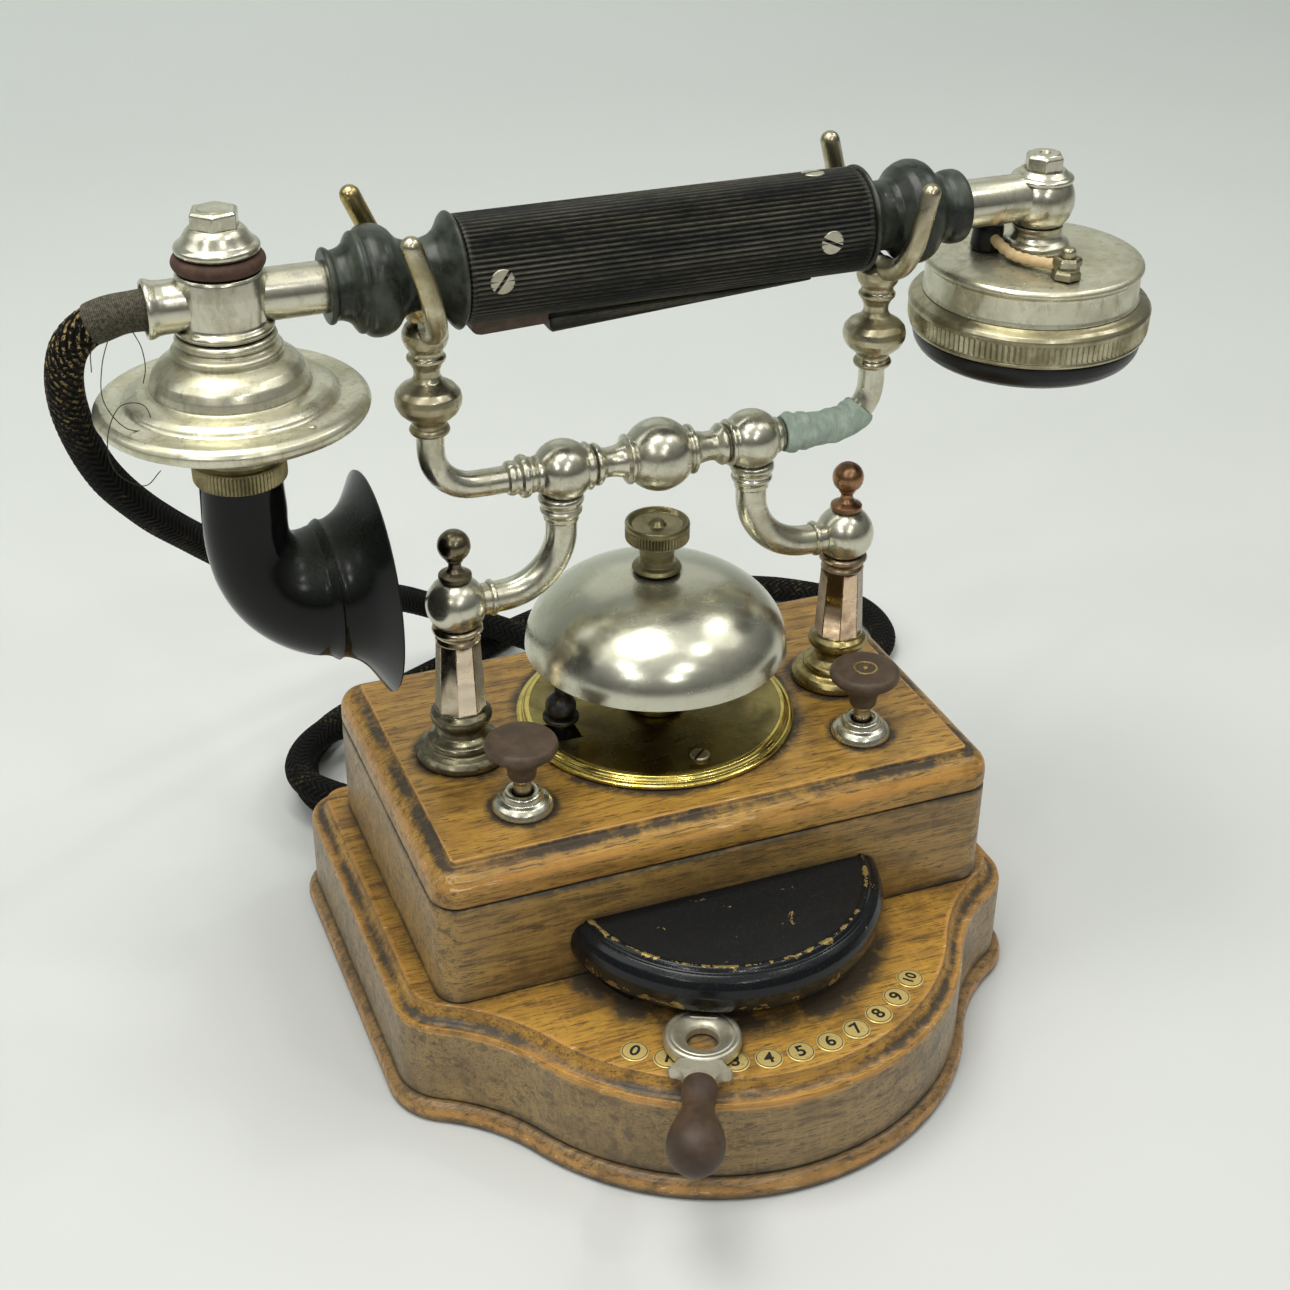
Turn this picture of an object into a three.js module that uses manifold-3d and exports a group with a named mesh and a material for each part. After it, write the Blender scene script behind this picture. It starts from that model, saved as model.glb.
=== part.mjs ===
// Desk telephone: oak base with a bell and a selector, nickelled cradle, handset with an elbow
// mouthpiece. Millimetres, +Z up. The origin is on the underside of the base, below the bell post.
// X runs along the handset towards the receiver and -Y is the front, where the selector handle is.
import * as THREE from 'three';
import { mergeVertices } from 'three/addons/utils/BufferGeometryUtils.js';
import Module from 'manifold-3d';

const wasm = await Module();
wasm.setup();

// ---- driving dimensions -------------------------------------------------------------------
const GAP = 0.3; // between pieces that touch on the real telephone

const BOW = { x: 0, y: -44.3, r: 76 }; // round front of the base
const CORNER = { x: 80.7, y: -44.7, r: 16.7 }; // front corners of the base
const OGEE_RADIUS = 60; // hollow stretch between a corner and the bow
const BASE_BACK_Y = 64;
const BASE_BACK_CORNER = 12;
const BOARD_TOP = 6.5;
const PLINTH_TOP = 37.7;
const COVE_WIDTH = 5.2;
const COVE_HEIGHT = 5.4;
const PLINTH_WALL = 9;
const PLINTH_CEILING = 29.7;

const BOX = { halfWidth: 86.4, front: -57.1, back: 53.7, corner: 8, wall: 7, top: 70.4 };
const LID_BOTTOM = 70.9;
const LID_TOP = 82.7;

const SELECTOR_Y = -46; // pivot of the selector lever
const SELECTOR_REST = 25.5; // degrees from straight ahead, towards -X
const STATION_STEP = 8.5; // degrees between two stations
const STATIONS = 11;
const STATION_RADIUS = 62.7;
const DISC_RADIUS = 4;
const LEVER_BOTTOM = 38.3;
const LEVER_TOP = 42.5;
const COVER_CENTRE_Y = -49.3;

const BUTTON = { x: 53.4, y: -32.7, stem: 2.6 };
const POST_X = 61;
const POST_BALL_Z = 133.1;
const LOWER_ARM_X = 29.3; // where a lower arm stands upright
const LOWER_ARM_RADIUS = 4.5;
const CROSSBAR_Z = 169.5;
const OUTER_BALL = { x: 28.7, r: 8.8 };
const MIDDLE_BALL_RADIUS = 10.5;
const UPPER_ARM_RADIUS = 3.8;
const FORK_X = 66.2;
const UPPER_ARM_TOP = 187;

const GONG = { radius: 38.9, wall: 2, rim: 108, spring: 109, height: 23.4, bore: 2.8 };
const PLATE_TOP = 86.2;
const STRIKER = { x: -32, y: -5 }; // upright part of the hammer arm
const ARMATURE_PIN = { x: -13, y: 42 };
const MAGNET_Z = 56;

const HANDSET_Z = 231.5;
const GRIP_HALF_LENGTH = 57.3;
const GRIP_RADIUS = 14.3;
const LEFT_TUBE = { from: -137, to: -91.5, r: 6.7 };
const RIGHT_TUBE = { from: 90, r: 6.8 };
const TRANSMITTER_X = -117.6;
const RECEIVER_X = 116.8;
const CORD_RADIUS = 5;
const WHIPPING_END = -137.2;
const GLAND = { x: -76, y: BASE_BACK_Y, z: 17, r: 8, length: 6 };

// ---- geometry helpers -----------------------------------------------------------------------
const SMALL = 8; // sides of a turned piece, by its size
const MEDIUM = 12;
const LARGE = 18;
const radians = THREE.MathUtils.degToRad;
const v2 = (x, y) => new THREE.Vector2(x, y);
const v3 = (x, y, z) => new THREE.Vector3(x, y, z);

function signedVolume(position, triangles) {
  let volume = 0;
  const corners = [v3(0, 0, 0), v3(0, 0, 0), v3(0, 0, 0)];
  for (let i = 0; i < triangles.length; i += 3) {
    corners.forEach((corner, n) => corner.fromBufferAttribute(position, triangles[i + n]));
    volume += corners[0].dot(corners[1].cross(corners[2])) / 6;
  }
  return volume;
}

function toSolid(geometry) {
  const bare = geometry.clone();
  bare.deleteAttribute('normal');
  bare.deleteAttribute('uv');
  const merged = mergeVertices(bare, 1e-4);
  const position = merged.getAttribute('position');
  const index = merged.getIndex().array;
  const triangles = [];
  for (let i = 0; i < index.length; i += 3) {
    const [a, b, c] = [index[i], index[i + 1], index[i + 2]];
    if (a !== b && b !== c && c !== a) triangles.push(a, b, c);
  }
  if (signedVolume(position, triangles) < 0) triangles.reverse();
  const vertProperties = new Float32Array(position.array);
  const triVerts = new Uint32Array(triangles);
  return new wasm.Manifold(new wasm.Mesh({ numProp: 3, vertProperties, triVerts }));
}

function toGeometry(solid) {
  const { vertProperties, triVerts } = solid.getMesh();
  const geometry = new THREE.BufferGeometry();
  geometry.setAttribute('position', new THREE.BufferAttribute(new Float32Array(vertProperties), 3));
  geometry.setIndex(new THREE.BufferAttribute(new Uint32Array(triVerts), 1));
  geometry.computeVertexNormals();
  return geometry;
}

function join(first, ...others) {
  return toGeometry(others.reduce((solid, other) => solid.add(toSolid(other)), toSolid(first)));
}

function cut(first, ...tools) {
  return toGeometry(tools.reduce((solid, tool) => solid.subtract(toSolid(tool)), toSolid(first)));
}

// A turned piece about Z from a profile of [radius, height] points.
function lathe(profile, segments = MEDIUM) {
  return new THREE.LatheGeometry(profile.map(([r, z]) => v2(r, z)), segments).rotateX(Math.PI / 2);
}

// A turned piece about X from a profile of [radius, x] points.
function latheX(profile, segments = MEDIUM) {
  return new THREE.LatheGeometry(profile.map(([r, x]) => v2(r, x)), segments).rotateZ(-Math.PI / 2);
}

function cylinder(radius, bottom, top, segments = SMALL) {
  return lathe([[0, bottom], [radius, bottom], [radius, top], [0, top]], segments);
}

function sphere(radius, z, widthSegments = SMALL) {
  return new THREE.SphereGeometry(radius, widthSegments, widthSegments / 2 + 2)
    .rotateX(Math.PI / 2)
    .translate(0, 0, z);
}

function box(x0, x1, y0, y1, z0, z1) {
  return new THREE.BoxGeometry(x1 - x0, y1 - y0, z1 - z0)
    .translate((x0 + x1) / 2, (y0 + y1) / 2, (z0 + z1) / 2);
}

function tube(points, radius, sides = 10, steps = 16) {
  const section = new THREE.Shape(arc(0, 0, radius, 0, 360 - 360 / sides, sides - 1));
  const path = new THREE.CatmullRomCurve3(points, false, 'centripetal');
  return new THREE.ExtrudeGeometry(section, { extrudePath: path, steps, bevelEnabled: false });
}

function arc(cx, cy, radius, fromDegrees, toDegrees, steps) {
  const points = [];
  for (let i = 0; i <= steps; i += 1) {
    const angle = radians(fromDegrees + ((toDegrees - fromDegrees) * i) / steps);
    points.push(v2(cx + radius * Math.cos(angle), cy + radius * Math.sin(angle)));
  }
  return points;
}

// A closed skin over rings of equal point count, with both ends filled.
function loft(rings) {
  const count = rings[0].length;
  const positions = rings.flat().flatMap((point) => [point.x, point.y, point.z]);
  const indices = [];
  for (let ring = 0; ring + 1 < rings.length; ring += 1) {
    for (let i = 0; i < count; i += 1) {
      const a = ring * count + i;
      const b = ring * count + ((i + 1) % count);
      indices.push(a, b, b + count, a, b + count, a + count);
    }
  }
  const last = (rings.length - 1) * count;
  for (const face of capFaces(rings[0])) {
    indices.push(face[2], face[1], face[0]);
    indices.push(last + face[0], last + face[1], last + face[2]);
  }
  const geometry = new THREE.BufferGeometry();
  geometry.setAttribute('position', new THREE.Float32BufferAttribute(positions, 3));
  geometry.setIndex(indices);
  return geometry;
}

// Triangles over one ring, all turned the way the ring itself runs.
function capFaces(ring) {
  const [a, b] = [ring[0], ring[Math.floor(ring.length / 4)]];
  const c = ring[Math.floor(ring.length / 2)];
  const across = b.clone().sub(a).normalize();
  const normal = across.clone().cross(c.clone().sub(a)).normalize();
  const up = normal.clone().cross(across);
  const flat = ring.map((point) => v2(point.clone().sub(a).dot(across), point.clone().sub(a).dot(up)));
  const turn = Math.sign(THREE.ShapeUtils.area(flat));
  return THREE.ShapeUtils.triangulateShape(flat, []).map((face) => {
    const area = THREE.ShapeUtils.area(face.map((i) => flat[i]));
    return Math.sign(area) === turn ? face : [face[2], face[1], face[0]];
  });
}

// ---- outlines of the base and the box ---------------------------------------------------------
// The ogee circle touches the bow and the corner from outside.
function ogeeCentre() {
  const toBow = BOW.r + OGEE_RADIUS;
  const toCorner = CORNER.r + OGEE_RADIUS;
  const dx = CORNER.x - BOW.x;
  const dy = CORNER.y - BOW.y;
  const span = Math.hypot(dx, dy);
  const along = (toBow ** 2 - toCorner ** 2 + span ** 2) / (2 * span);
  const aside = Math.sqrt(toBow ** 2 - along ** 2);
  return v2(BOW.x + (along * dx + aside * dy) / span, BOW.y + (along * dy - aside * dx) / span);
}

const OGEE = ogeeCentre();
const BASE_HALF_WIDTH = CORNER.x + CORNER.r;
const angleBetween = (from, to) => THREE.MathUtils.radToDeg(Math.atan2(to.y - from.y, to.x - from.x));

function baseOutline(offset) {
  const bowEnd = angleBetween(BOW, OGEE);
  const cornerStart = angleBetween(CORNER, OGEE);
  const backX = BASE_HALF_WIDTH - BASE_BACK_CORNER;
  const backY = BASE_BACK_Y - BASE_BACK_CORNER;
  const half = [
    ...arc(BOW.x, BOW.y, BOW.r + offset, -90, bowEnd, 7),
    ...arc(OGEE.x, OGEE.y, OGEE_RADIUS - offset, bowEnd + 180, cornerStart + 180, 3).slice(1),
    ...arc(CORNER.x, CORNER.y, CORNER.r + offset, cornerStart, 0, 3).slice(1),
    ...arc(backX, backY, BASE_BACK_CORNER + offset, 0, 90, 3),
  ];
  return [...half, ...half.slice(1).reverse().map((point) => v2(-point.x, point.y))];
}

function boxOutline(offset) {
  const x = BOX.halfWidth - BOX.corner;
  const radius = BOX.corner + offset;
  const front = BOX.front + BOX.corner;
  const back = BOX.back - BOX.corner;
  return [
    ...arc(x, front, radius, -90, 0, 3),
    ...arc(x, back, radius, 0, 90, 3),
    ...arc(-x, back, radius, 90, 180, 3),
    ...arc(-x, front, radius, 180, 270, 3),
  ];
}

// Rings of [height, offset] along an outline, from bottom to top.
function loftOutline(outline, rings) {
  return loft(rings.map(([z, offset]) => outline(offset).map((point) => v3(point.x, point.y, z))));
}

// Station 0 is furthest towards -X; angles are measured from straight ahead.
function stationAngle(station) {
  return ((STATIONS - 1) / 2 - station) * STATION_STEP;
}

function onSelector(radius, degrees) {
  const angle = radians(degrees);
  return v2(-radius * Math.sin(angle), SELECTOR_Y - radius * Math.cos(angle));
}

// A flat band that follows a circle round the selector pivot, from angle to angle.
function selectorBand(inner, outer, fromAngle, toAngle, bottom, top) {
  const outside = arc(0, 0, outer, fromAngle, toAngle, 10);
  const inside = arc(0, 0, inner, toAngle, fromAngle, 10);
  const band = new THREE.ExtrudeGeometry(new THREE.Shape([...outside, ...inside]), {
    depth: top - bottom,
    bevelEnabled: false,
  });
  return band.translate(0, SELECTOR_Y, bottom);
}

// ---- materials ----------------------------------------------------------------------------------
function finish(color, roughness, metalness) {
  return new THREE.MeshStandardMaterial({ color, roughness, metalness });
}

const oak = () => finish(0x9a6a2f, 0.5, 0);
const nickel = () => finish(0xbdb9a8, 0.25, 1);
const brass = () => finish(0xb89a3c, 0.3, 1);
const copper = () => finish(0x8a5a44, 0.4, 1);
const ebonite = () => finish(0x1c1e1c, 0.45, 0);
const gloss = () => finish(0x08090b, 0.12, 0);
const japan = () => finish(0x0b0d11, 0.2, 0);
const fibre = () => finish(0x4a2c24, 0.55, 0);
const rubber = () => finish(0x5a261c, 0.7, 0);
const winding = () => finish(0x3d5a34, 0.7, 0);
const iron = () => finish(0x4b4a48, 0.5, 1);
const braid = () => finish(0x161512, 0.9, 0);
const putty = () => finish(0x93ad9c, 0.8, 0);

const telephone = new THREE.Group();
telephone.name = 'telephone';

// Passing each shape through a solid merges its corners and turns its faces outwards.
function addPart(name, geometry, material, x = 0, y = 0, z = 0) {
  const mesh = new THREE.Mesh(toGeometry(toSolid(geometry)), material);
  mesh.name = name;
  mesh.position.set(x, y, z);
  telephone.add(mesh);
  return mesh;
}

// ---- base -----------------------------------------------------------------------------------------
function baseBoard() {
  return loftOutline(baseOutline, [[0, 1.8], [0.9, 2.6], [4, 2.6], [5.6, 1.6], [BOARD_TOP, 0.2]]);
}

function plinth() {
  const coveSteps = 3;
  const rings = [[BOARD_TOP + GAP, 0]];
  for (let i = 0; i <= coveSteps; i += 1) {
    const angle = (Math.PI / 2) * (i / coveSteps);
    rings.push([PLINTH_TOP - COVE_HEIGHT * Math.cos(angle), -COVE_WIDTH * Math.sin(angle)]);
  }
  const cavity = loftOutline(baseOutline, [[BOARD_TOP - 1, -PLINTH_WALL], [PLINTH_CEILING, -PLINTH_WALL]]);
  const tools = [cavity, cylinder(2.8, PLINTH_CEILING - 1, PLINTH_TOP + 1, 12).translate(0, SELECTOR_Y, 0)];
  const reach = DISC_RADIUS + 2 * GAP;
  const span = stationAngle(0) + STATION_STEP / 2;
  tools.push(selectorBand(STATION_RADIUS - reach, STATION_RADIUS + reach, -90 - span, -90 + span, 36.5, 39));
  return cut(loftOutline(baseOutline, rings), ...tools);
}

function numberScale() {
  const span = stationAngle(0);
  const discs = [];
  for (let station = 0; station < STATIONS; station += 1) {
    const place = onSelector(STATION_RADIUS, stationAngle(station));
    discs.push(cylinder(DISC_RADIUS, 36.8, 37.9, 8).translate(place.x, place.y, 0));
  }
  const inner = STATION_RADIUS - 0.8;
  const outer = STATION_RADIUS + 0.8;
  return join(selectorBand(inner, outer, -90 - span, -90 + span, 36.8, 37.4), ...discs);
}

function boxCase() {
  const bottom = PLINTH_TOP + GAP;
  const outside = loftOutline(boxOutline, [[bottom, 0], [BOX.top, 0]]);
  const inside = loftOutline(boxOutline, [[bottom - 1, -BOX.wall], [BOX.top + 1, -BOX.wall]]);
  const leverSlot = box(-20, 20, BOX.front - 1, BOX.front + BOX.wall + 1, bottom - 1, 43.2);
  return cut(outside, inside, leverSlot);
}

function lid() {
  const body = loftOutline(boxOutline, [
    [LID_BOTTOM, 0], [76, 0], [78.2, -0.5], [80, -1.7], [81.1, -3.4], [81.5, -5.6], [LID_TOP, -6.4],
  ]);
  const stemBores = [-1, 1].map((side) => (
    cylinder(BUTTON.stem + GAP, LID_BOTTOM - 1, LID_TOP + 1).translate(side * BUTTON.x, BUTTON.y, 0)
  ));
  return cut(body, ...stemBores, strikerSlot(LID_BOTTOM - 1, LID_TOP + 1));
}

function strikerSlot(bottom, top) {
  const half = 5;
  const { x, y } = STRIKER;
  return box(x - half, x + half, y - half, y + half, bottom, top);
}

// ---- selector ---------------------------------------------------------------------------------------
// Half-round cover: flat top, rolled rim, straight back against the box, feet at both ends.
function selectorCover() {
  const profile = [
    [0, 57.3], [44.3, 57.3], [46.9, 56], [48.8, 50.4], [46.6, 43.3],
    [44.9, 43.3], [46.8, 50.4], [45, 55], [43.4, 55.6], [0, 55.6],
  ];
  const rim = lathe(profile, 36).translate(0, COVER_CENTRE_Y, 0);
  const feet = lathe([[44.9, 38], [46.6, 38], [46.6, 44.1], [44.9, 44.1], [44.9, 38]], 36);
  const whole = join(rim, feet.translate(0, COVER_CENTRE_Y, 0));
  const behind = box(-60, 60, BOX.front - GAP, 60, 30, 70);
  const leverGap = 50;
  const wedge = new THREE.Shape([v2(0, 0), v2(-leverGap * 1.8, -60), v2(leverGap * 1.8, -60)]);
  const way = new THREE.ExtrudeGeometry(wedge, { depth: 13.3, bevelEnabled: false });
  return cut(whole, behind, way.translate(0, COVER_CENTRE_Y, 30));
}

function selectorLever() {
  const middle = (LEVER_BOTTOM + LEVER_TOP) / 2;
  const eyeAt = -56.4;
  const body = join(
    cylinder(7, LEVER_BOTTOM, LEVER_TOP),
    box(-4, 4, eyeAt, 0, LEVER_BOTTOM, LEVER_TOP),
    cylinder(10.8, LEVER_BOTTOM, LEVER_TOP, MEDIUM).translate(0, eyeAt, 0),
    box(-3.4, 3.4, -73.7, eyeAt, LEVER_BOTTOM, LEVER_TOP),
    box(-5.6, 5.6, -70.5, -68.5, LEVER_BOTTOM, LEVER_TOP),
    box(-2, 2, 0, 23.5, 41, LEVER_TOP),
  );
  const countersink = lathe([[0, 37], [4.4, 37], [4.4, middle], [7.2, 43], [8.8, 44], [0, 44]]);
  return cut(body, countersink.translate(0, eyeAt, 0), cylinder(2.8, 30, 50, 12));
}

function selectorHandle() {
  const droop = 2;
  const profile = [
    [0, 0], [4.4, 0], [4.9, 1.4], [4.9, 5], [4.4, 8.5], [5.3, 12.5], [7, 16.8], [7.8, 21], [7.2, 25.2],
    [4.6, 28.7], [0, 30],
  ];
  return lathe(profile, SMALL).rotateX(radians(90 + droop)).translate(0, -74, 40.4);
}

function selectorPivot() {
  const head = 3.7;
  return lathe([[0, 30.5], [2.5, 30.5], [2.5, 42.8], [head, 42.8], [head, 44.6], [2.4, 45.6], [0, 45.6]], 12);
}

function contactArc() {
  const span = 50;
  const studs = [];
  for (let station = 0; station < STATIONS; station += 1) {
    const place = onSelector(-20, stationAngle(station));
    studs.push(cylinder(1.1, 39, 40.5, 6).translate(place.x, place.y, 0));
  }
  return join(selectorBand(16, 24, 90 - span, 90 + span, PLINTH_TOP + GAP, 39.6), ...studs);
}

// ---- push buttons -------------------------------------------------------------------------------------
function buttonCollar() {
  const bore = BUTTON.stem + GAP;
  return lathe([
    [bore, 83], [8.6, 83], [8.6, 84.6], [7.6, 86.2], [6.2, 86.9], [5.6, 88.2], [4.6, 88.6], [bore, 88.6],
    [bore, 83],
  ], MEDIUM);
}

function buttonCap() {
  return lathe([
    [0, 93.3], [3.9, 93.3], [4.3, 96], [6.4, 99.4], [9.8, 102.2], [10.5, 103.6], [10, 105.2], [8.6, 106],
    [0, 105.5],
  ], MEDIUM);
}

function contactSpring(side) {
  const strip = side < 0 ? [-74, -48] : [48, 74];
  const leg = side < 0 ? [-74, -72.8] : [72.8, 74];
  return join(
    box(strip[0], strip[1], -36, -29.4, 60.4, 61.3),
    box(leg[0], leg[1], -36, -29.4, PLINTH_TOP + GAP, 61.3),
  );
}

// ---- bell ---------------------------------------------------------------------------------------------
function gongPlate() {
  const plate = lathe([
    [0, 83], [41.9, 83], [41.9, 84.3], [39.6, 84.9], [39.6, PLATE_TOP], [0, PLATE_TOP],
  ], LARGE);
  return cut(plate, strikerSlot(80, 90));
}

function gong() {
  const steps = 6;
  const lastAngle = 85.9;
  const outer = [];
  const inner = [];
  for (let i = 0; i <= steps; i += 1) {
    const angle = radians((lastAngle * i) / steps);
    const reach = GONG.radius - GONG.wall;
    outer.push([GONG.radius * Math.cos(angle), GONG.spring + GONG.height * Math.sin(angle)]);
    inner.unshift([reach * Math.cos(angle), GONG.spring + (GONG.height - GONG.wall) * Math.sin(angle)]);
  }
  outer[steps][0] = GONG.bore;
  inner[0][0] = GONG.bore;
  const rim = [[GONG.radius - GONG.wall, GONG.rim], [GONG.radius + 0.4, GONG.rim]];
  return lathe([...rim, ...outer, ...inner, rim[0]], LARGE);
}

function gongPost() {
  const shoulder = GONG.spring + GONG.height - GONG.wall - GAP;
  return lathe([
    [0, PLATE_TOP + GAP], [9, PLATE_TOP + GAP], [9, 88.4], [5, 90], [4.4, 94], [4.4, 124], [5, shoulder - 2],
    [5, shoulder], [2.5, shoulder], [2.5, 145.2], [0, 145.2],
  ], SMALL);
}

function gongNut() {
  const bottom = GONG.spring + GONG.height + GAP;
  return lathe([
    [0, 145.5], [GONG.bore, 145.5], [GONG.bore, bottom], [7, bottom], [7, 134.6], [5.8, 135.6], [5.8, 142.7],
    [9.4, 142.7], [9.4, 148], [7.5, 148], [6.3, 146.9], [2.5, 146.9], [0, 149.4],
  ], MEDIUM);
}

function magnetCoil(y) {
  const coil = latheX([[0, -47], [9, -47], [9, -45], [7.6, -45], [7.6, -20], [9, -20], [9, -18], [3, -18],
    [3, -17], [0, -17]], SMALL);
  return coil.translate(0, y, MAGNET_Z);
}

function magnetYoke() {
  const { x, y } = ARMATURE_PIN;
  return join(
    box(-50.7, -47.3, -1, 45, 40.5, 66),
    box(-50.7, -7, -1, 45, 40.5, 43.5),
    cylinder(1.5, 42, 66, 12).translate(x, y, 0),
  );
}

// Armature on its upright pin, with the arm that rises under the gong and its striking head.
function bellHammer() {
  const { x, y } = ARMATURE_PIN;
  const armX = STRIKER.x;
  const armY = STRIKER.y;
  const arm = tube([
    v3(x - 1, armY, MAGNET_Z), v3(-22, armY, MAGNET_Z), v3(-28.6, armY, 57.6), v3(armX, armY, 63),
    v3(armX, armY, 80), v3(armX, armY, 110),
  ], 1.8, 8, 9);
  const body = join(
    box(x - 1.5, x + 1.5, armY - 2, y, 49, 63),
    cylinder(3.4, 49, 63, 10).translate(x, y, 0),
    arm,
    sphere(4.6, 95.5, 8).translate(armX, armY, 0),
    cylinder(5.4, 91, 92.4, 8).translate(armX, armY, 0),
    sphere(2.6, 111, 6).translate(armX, armY, 0),
  );
  return cut(body, cylinder(1.8, 48, 64, 12).translate(x, y, 0));
}

function inductionCoil() {
  const core = latheX([[0, 17], [10, 17], [10, 63], [0, 63]], SMALL).translate(0, 28, 51);
  return join(core, box(15, 19, 16, 40, 38, 64), box(61, 65, 16, 40, 38, 64));
}

function terminalStrip() {
  const screws = [14, 25, 36, 47, 56].map((x) => cylinder(2.2, 45, 48, 8).translate(x, -6, 0));
  return join(box(8, 62, -12, 0, PLINTH_TOP + GAP, 46), ...screws);
}

// ---- cradle -------------------------------------------------------------------------------------------
function post() {
  const foot = lathe([
    [0, 83], [13.6, 83], [13.4, 85.4], [10.2, 87], [9.9, 89.3], [6.8, 92], [8.9, 96.7], [6.9, 99.2],
    [0, 99.2],
  ], MEDIUM);
  const column = lathe([[0, 98], [7.2, 98], [6.2, 122], [0, 122]], 8).rotateZ(radians(22.5));
  const head = lathe([
    [0, 121.5], [6.4, 121.5], [5.9, 124], [7.2, 125], [7, 126.3], [0, 126.3],
  ], SMALL);
  return join(foot, column, head);
}

function finial() {
  const ball = 4.7;
  return lathe([
    [0, 141.3], [4.3, 141.3], [4.7, 142.6], [3.6, 144], [1.9, 144.8], [1.8, 147.2],
    ...arc(0, 151.7, ball, -65, 90, 6).map((point) => [Math.max(point.x, 0), point.y]).slice(0, 6),
    [0, 151.7 + ball],
  ], SMALL);
}

function lowerArm(side) {
  const bend = 18.7;
  const corner = LOWER_ARM_X + bend;
  const points = [v2(POST_X, POST_BALL_Z), v2(POST_X - 6, POST_BALL_Z)];
  points.push(...arc(corner, POST_BALL_Z + bend, bend, 270, 180, 5));
  points.push(v2(LOWER_ARM_X, 156));
  const path = points.map((point) => v3(side * point.x, 0, point.y));
  const collar = lathe([
    [0, 155], [5.5, 156], [5.5, 164], [0, 164],
  ], SMALL).translate(side * LOWER_ARM_X, 0, 0);
  const ball = sphere(8.75, POST_BALL_Z, 10).translate(side * POST_X, 0, 0);
  const whole = join(tube(path, LOWER_ARM_RADIUS, 10, 9), collar, ball);
  const barBall = sphere(OUTER_BALL.r + 2 * GAP, CROSSBAR_Z, MEDIUM).translate(side * OUTER_BALL.x, 0, 0);
  const under = box(-80, 80, -20, 20, 120, 126.6);
  const above = cylinder(8, 141, 145).translate(side * POST_X, 0, 0);
  return cut(whole, barBall, under, above);
}

function crossbar() {
  const ballArc = (centre, radius, from, to, steps) => (
    arc(centre, 0, radius, from, to, steps).map((point) => [point.y, point.x])
  );
  const half = [
    ...ballArc(0, MIDDLE_BALL_RADIUS, 90, 37, 3), [6.6, 9], [6.6, 10.2], [3.4, 13.6], [3.4, 16.6],
    [5.8, 20.2], [5.8, 21.4],
    ...ballArc(OUTER_BALL.x, OUTER_BALL.r, 142, 34, 5), [4.4, 37.7], [0, 37.7],
  ];
  const mirrored = half.slice(1).reverse().map(([r, x]) => [r, -x]);
  return latheX([...mirrored, ...half], MEDIUM);
}

const UPPER_BEND = 12;

// Centre line of an upper arm, from the crossbar to the fork, with an optional start and end cut off.
function upperArmPath(side, startX, endDegrees, topZ) {
  const centreX = FORK_X - UPPER_BEND;
  const centreZ = CROSSBAR_Z + UPPER_BEND;
  const points = [v2(startX, CROSSBAR_Z), ...arc(centreX, centreZ, UPPER_BEND, 270, endDegrees, 4)];
  if (topZ) points.push(v2(FORK_X, topZ));
  return points.map((point) => v3(side * point.x, 0, point.y));
}

function upperArm(side) {
  const rod = tube(upperArmPath(side, 38, 360, UPPER_ARM_TOP), UPPER_ARM_RADIUS, 10, 9);
  if (side > 0) return rod;
  const collar = latheX([
    [0, -43.6], [4.8, -43.6], [5.6, -40.4], [5.6, -38.9], [4.6, -38], [0, -38],
  ], SMALL).translate(0, 0, CROSSBAR_Z);
  return join(rod, collar);
}

// Repair wrapping round the right upper arm, thick over its collar.
function armWrap() {
  const path = upperArmPath(1, 38.2, 320);
  const collar = latheX([[0, 38.2], [6.2, 38.2], [6.6, 40], [5.4, 44.4], [0, 44.4]], SMALL);
  const skin = join(tube(path, 5.3, 10, 6), collar.translate(0, 0, CROSSBAR_Z));
  return cut(skin, tube(upperArmPath(1, 34, 345), UPPER_ARM_RADIUS + 2 * GAP, 10, 8));
}

function fork(side) {
  const stem = lathe([
    [0, 187.3], [5.2, 187.6], [4.8, 190.6], [8.2, 193.6], [9, 196.7], [8.2, 199.8],
    [3.6, 203.4], [4.8, 208.3], [4.6, 217.4], [0, 217.4],
  ], 10);
  const leans = side < 0 ? { front: -7.5, rear: -13 } : { front: 4, rear: -8 };
  const tips = side < 0 ? { front: 246, rear: 248 } : { front: 243, rear: 248 };
  const prong = (direction, lean, tip) => [
    v3(lean, direction * 18.8, tip),
    v3(lean * 0.45, direction * 17.4, 235),
    v3(lean * 0.12, direction * 13.4, 226),
    v3(0, direction * 7, 219.4),
  ];
  const path = [
    ...prong(-1, leans.front, tips.front), v3(0, 0, 217), ...prong(1, leans.rear, tips.rear).reverse(),
  ];
  return join(stem, tube(path, 2.75, 8, 18));
}

// ---- handset ------------------------------------------------------------------------------------------
function gripSleeve() {
  const end = GRIP_HALF_LENGTH;
  const sleeve = latheX([
    [0, -end], [13.6, -end], [GRIP_RADIUS, -end + 1], [GRIP_RADIUS, end - 1], [13.6, end], [0, end],
  ], LARGE);
  return cut(sleeve, box(-55, 45, -5.6, 5.6, -20, -10.5));
}

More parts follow.
